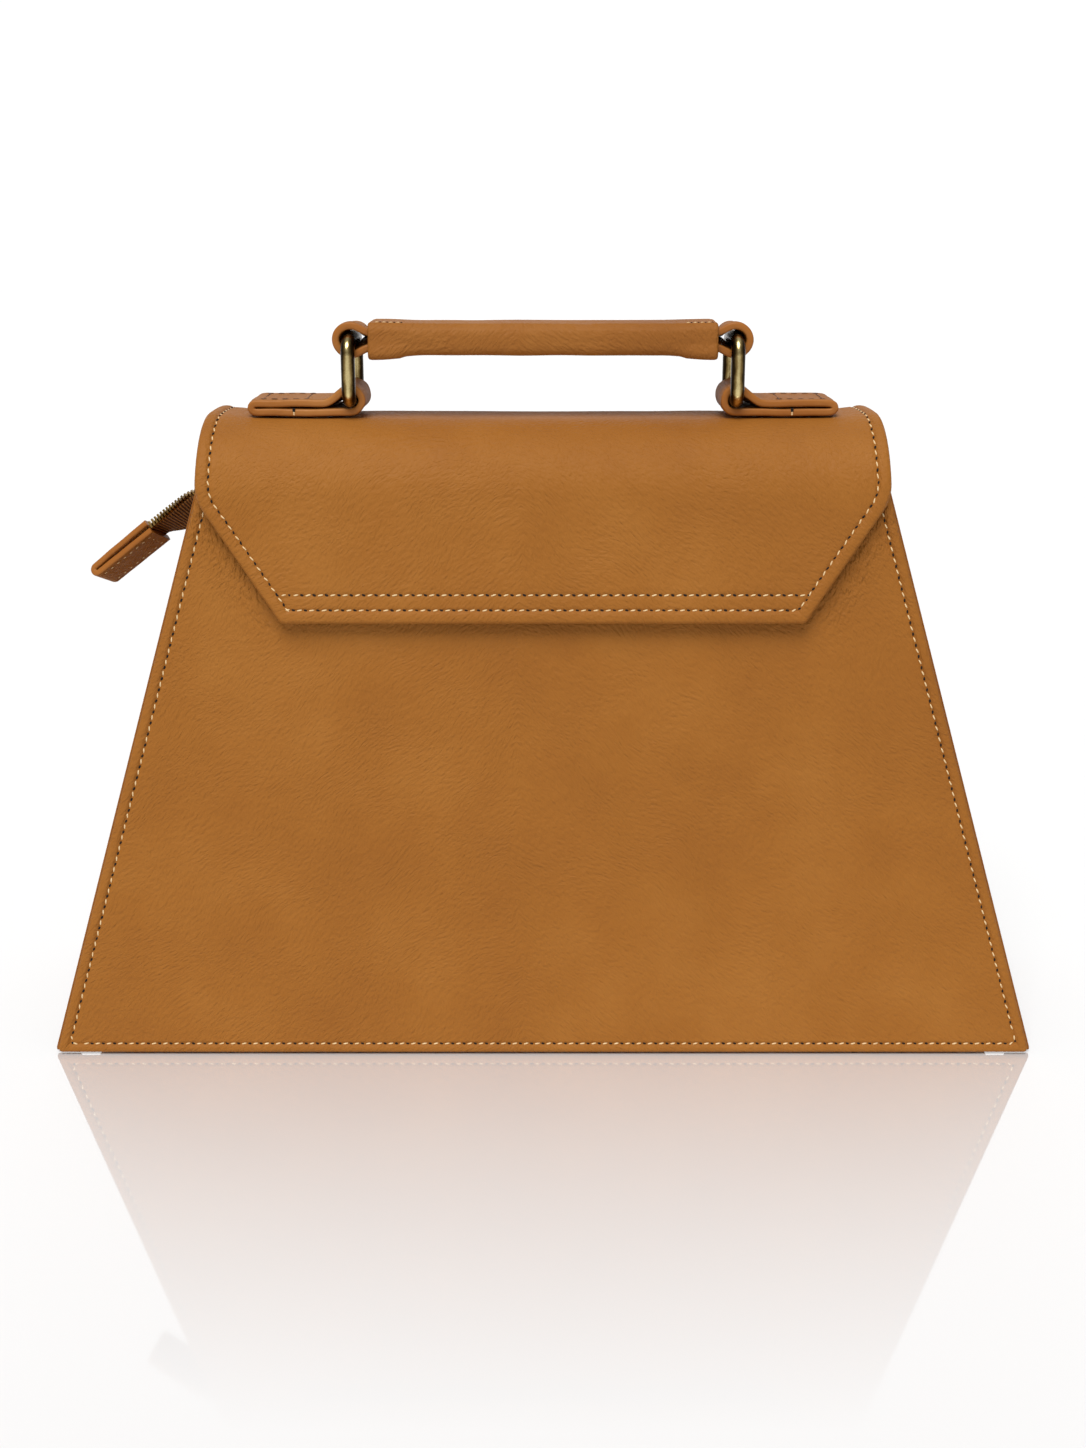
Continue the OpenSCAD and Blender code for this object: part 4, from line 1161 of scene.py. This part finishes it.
mouth, fold = (1.0 + END_T) / 2, (0.5 + END_T) / 2
turn_x = END_L - fold - END_T / 2
path = ([(0.0, -mouth)] + spread((0.0, -mouth), (turn_x, -fold), 24)
        + arc_path(turn_x, 0, fold, -90, 90, 12) + spread((turn_x, fold), (0.0, mouth), 24)
        + [(0.0, mouth)])
section, cut = strap_section(END_W, END_T)
loops = []
for (a, c), out in zip(path, directions(path, closed=False)):
    wave = 0.14 * ripple(a / 7, c, 1.7)
    loops.append([on_tail_end(a + out.x * (n + wave), c + out.y * (n + wave),
                              END_LIP - END_W / 2 + y) for y, n in section])
edged("tail_end_tab_leather", *tube(loops), cut, "zip_tail", ("tail_end_tab",))


def end_spot(ahead, up):
    side = 0.24 * ahead / turn_x - (mouth + END_T / 2)
    return (on_tail_end(ahead, side, up), tuple(-tail_across))


rows = [[(2.2, -8.8), (2.2, -1.2), (19.5, -1.2)], [(2.2, -8.8), (19.5, -8.8)]]
lines = [[point for a, b in zip(row, row[1:]) for point in straight(a, b, end_spot)]
         for row in rows]
marks("sewing_tail_end_tab", lines, cream_thread, "zip_tail",
      {"Pitch": 2.4, "Length": 1.0, "Width": 0.3, "Height": 0.24})

# %% Sewing on the tabs
TAB_TOP = CREST_Z + 4.72
box = [(68.0, -7.3), (80.5, -7.3), (80.5, 7.3), (68.0, 7.3), (68.0, -7.3)]
for side, sign in SIDES:
    lines = [straight(a, b, lambda x, y: ((sign * x, y, TAB_TOP), (0, 0, 1)))
             for a, b in zip(box, box[1:])]
    marks(f"sewing_tab_{side}", lines, tan_thread, "flap",
          {"Pitch": 2.6, "Length": 1.9, "Width": 0.5, "Height": 0.4})
    bar = [((sign * 71.6, -9.72, CREST_Z + 0.55 + 0.5 * k), (0, -1, 0)) for k in range(4)]
    marks(f"tab_tack_{side}", [bar[:2]], cream_thread, "flap",
          {"Pitch": 9.0, "Length": 0.8, "Width": 0.55, "Height": 0.45})
    # the tack's holes are near-black marks, painted shade
    marks(f"tab_tack_hole_shade_{side}", [bar[2:]], stitch_hole_shade, "flap",
          {"Pitch": 9.0, "Length": 0.8, "Width": 0.9, "Height": 0.5})

# %% [markdown]
# ## The grip
# The grip is a piece of leather rolled round the strap and a cord of filler, lapped on
# the front just under its top, and left a little wider at its ends. It is a tube of
# loops round the handle's line: out along the skin, over each end's lip and back
# through the inside. The lap is a small step in the loops.

# %% Grip
GRIP_HALF, GRIP_H, GRIP_W, GRIP_STEPS, GRIP_ROWS = 49.75, 4.4, 11.4, 88, 110
LAP_AT, LAP_RAMP, LAP_STEP, LAP_GROOVE = 0.07, 0.006, 0.34, 0.22


def stadium(half_h, half_w):
    """Points and outward directions round a flat-sided oval, from its front middle up."""
    flat, quarter = half_w - half_h, math.pi * half_h / 2
    around = 2 * math.pi * half_h + 4 * flat
    legs = [(quarter, "front up"), (2 * flat, "top"), (2 * quarter, "back"),
            (2 * flat, "low"), (quarter, "front low")]
    result = []
    for k in range(GRIP_STEPS):
        d = around * k / GRIP_STEPS
        for length, leg in legs:
            if d <= length:
                break
            d -= length
        if leg == "top":
            result.append((Vector((-flat + d, half_h)), Vector((0, 1))))
        elif leg == "low":
            result.append((Vector((flat - d, -half_h)), Vector((0, -1))))
        else:
            turn = {"front up": math.pi, "back": math.pi / 2, "front low": -math.pi / 2}[leg]
            turn -= d / half_h
            n = Vector((math.cos(turn), math.sin(turn)))
            result.append((Vector((-flat if leg != "back" else flat, 0)) + n * half_h, n))
    return result


grip_oval = stadium(GRIP_H, GRIP_W)


def grip_loop(x, shrink=0.0):
    swell = smooth((abs(x) - 34) / 14)
    power = 3.6 + 3 * swell
    loop = []
    for k, (p, n) in enumerate(grip_oval):
        share = k / GRIP_STEPS
        lap = LAP_STEP * smooth((share - 0.072) / LAP_RAMP) * smooth((0.45 - share) / 0.2)
        lap -= LAP_GROOVE * bell((share - LAP_AT) / LAP_RAMP)
        low, high = smooth((-n.y - 0.1) / 0.7), smooth((n.y - 0.1) / 0.7)
        side = 1 - abs(n.y)
        lip = 0.4 * low * smooth((abs(x) - 39) / 2)
        wave = 0.16 * ripple(x / 13, k / 9, 2.2)
        grow = swell * (0.8 * low + 0.3 * high + 0.3 * side) + lap + lip + wave - shrink
        boxy = GRIP_H * ((abs(n.x) ** power + abs(n.y) ** power) ** (-1 / power) - 1)
        q = p + n * (grow + boxy)
        loop.append((x, q.x, HANDLE_Z + q.y))
    return loop


def grip_inside(x):
    return [(x, max(-9.9, min(9.9, p.x)), HANDLE_Z + max(-3.15, min(3.15, p.y)))
            for p, _ in grip_oval]


ends = [(0.0, 0.7), (0.12, 0.4), (0.35, 0.15), (0.9, 0.0)]
loops = [grip_loop(-GRIP_HALF + d, shrink) for d, shrink in ends]
loops += [grip_loop(-GRIP_HALF + 0.9 + (2 * GRIP_HALF - 1.8) * k / GRIP_ROWS)
          for k in range(1, GRIP_ROWS)]
loops += [grip_loop(GRIP_HALF - d, shrink) for d, shrink in reversed(ends)]
loops += [grip_inside(x) for x in (GRIP_HALF - 0.4, GRIP_HALF - 10, -GRIP_HALF + 10,
                                   -GRIP_HALF + 0.4)]
points, faces = tube(loops, "joined")
piece("grip_leather", points, faces, strap_nappa, "handle",
      ("handle_sleeve",), sharp=50)
seam_rows = [[(grip_loop(first + (last - first) * k / 9)[8], (0, -0.55, 0.83))
              for k in range(10)] for first, last in ((-47.2, -41.2), (41.2, 47.2))]
sewn("sewing_grip", seam_rows, "handle", pitch=2.0, width=0.34)
print(f"the grip runs {2 * GRIP_HALF:.1f} mm along the handle at {HANDLE_Z:.1f} mm")

# %% [markdown]
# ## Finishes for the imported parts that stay
# The rings, the chain and the hidden boards, linings and magnets keep their solids.
# Each only needs its real finish.

# %% Give the kept parts their materials
kept = {
    ring_brass_painted_highlight: ("ring_left", "ring_right"),
    antique_brass: ("side_ring_left", "side_ring_right", "zip_teeth_front", "zip_teeth_back"),
    board: ("front_board", "back_board", "base_board", "flap_core", "handle_core"),
    lining: ("front_lining", "back_lining", "left_lining", "right_lining", "base_lining"),
    plated_steel: ("panel_magnet", "flap_magnet"),
}
for material, names in kept.items():
    for name in names:
        mesh = frame["nodes"][name].data
        mesh.materials.clear()
        mesh.materials.append(material)
print(sum(len(names) for names in kept.values()), "packed parts keep their solids")

# %% [markdown]
# ## Floor, light and camera
# The picture has a white studio floor that mirrors the bag and lets the mirror image
# fade. A white diffuse floor is mixed with a thin mirror, and the mirror's share falls
# with the distance from the bag's foot. A white wall stands far behind, a grey room
# keeps the leather's own shine low, and one wide soft light comes from above the front,
# which leaves the dark line under the flap.

# %% Floor
FADE_FRONT, FADE_BACK, MIRROR = -0.215, -0.044, 0.46   # metres, metres and a share


def studio_floor():
    material, tree = new_material("White studio floor")
    place = add(tree, "ShaderNodeTexCoord").outputs["Object"]
    depth = add(tree, "ShaderNodeSeparateXYZ", {}, {"Vector": place}).outputs["Y"]
    fade = add(tree, "ShaderNodeMapRange",
               {"From Min": FADE_FRONT, "From Max": FADE_BACK, "To Min": 0.0, "To Max": MIRROR},
               {"Value": depth})
    white = add(tree, "ShaderNodeBsdfDiffuse", {"Color": (0.82, 0.82, 0.82, 1)})
    mirror = add(tree, "ShaderNodeBsdfGlossy", {"Color": (1, 1, 1, 1), "Roughness": 0.04})
    both = add(tree, "ShaderNodeMixShader", {},
               {0: fade.outputs["Result"], 1: white.outputs[0], 2: mirror.outputs[0]})
    add(tree, "ShaderNodeOutputMaterial", {}, {"Surface": both.outputs[0]})
    return material


def backdrop(name, corners, material):
    mesh = bpy.data.meshes.new(name)
    mesh.from_pydata([Vector(p) * MM for p in corners], [], [(0, 1, 2, 3)])
    link(name, mesh, material)


half = 4000.0
backdrop("studio_floor", ((-half, -half, 0), (half, -half, 0), (half, half, 0),
                          (-half, half, 0)), studio_floor())
wall_material, wall_tree = new_material("Lit studio wall")
glow = add(wall_tree, "ShaderNodeEmission", {"Color": (1, 1, 1, 1), "Strength": 1.02})
add(wall_tree, "ShaderNodeOutputMaterial", {}, {"Surface": glow.outputs[0]})
backdrop("studio_wall", ((-half, half, 0), (half, half, 0), (half, half, half),
                         (-half, half, half)), wall_material)

# %% Light
world = bpy.data.worlds.new("Grey room")
bpy.context.scene.world = world
world.use_nodes = True
world.node_tree.nodes["Background"].inputs["Color"].default_value = (0.4, 0.4, 0.4, 1)
light_data = bpy.data.lights.new("soft_light", "SUN")
light_data.energy, light_data.angle = 2.8, math.radians(36)
soft_light = bpy.data.objects.new("soft_light", light_data)
soft_light.rotation_euler = Vector((0.12, 0.5, -0.86)).to_track_quat("-Z", "Y").to_euler()
bpy.context.scene.collection.objects.link(soft_light)
bpy.context.scene.view_settings.view_transform = "Standard"

# %% Camera, solved from the photograph: 0.54 m in front, pitched 16.5 degrees down
camera_data = bpy.data.cameras.new("camera")
camera_data.sensor_fit, camera_data.sensor_width, camera_data.lens = "HORIZONTAL", 36.0, 60.07
camera_data.clip_start = 0.01
camera = bpy.data.objects.new("camera", camera_data)
camera.location = (0.0, -0.5346, 0.2484)
camera.rotation_euler = (math.radians(73.5), 0, 0)
bpy.context.scene.collection.objects.link(camera)
bpy.context.scene.camera = camera
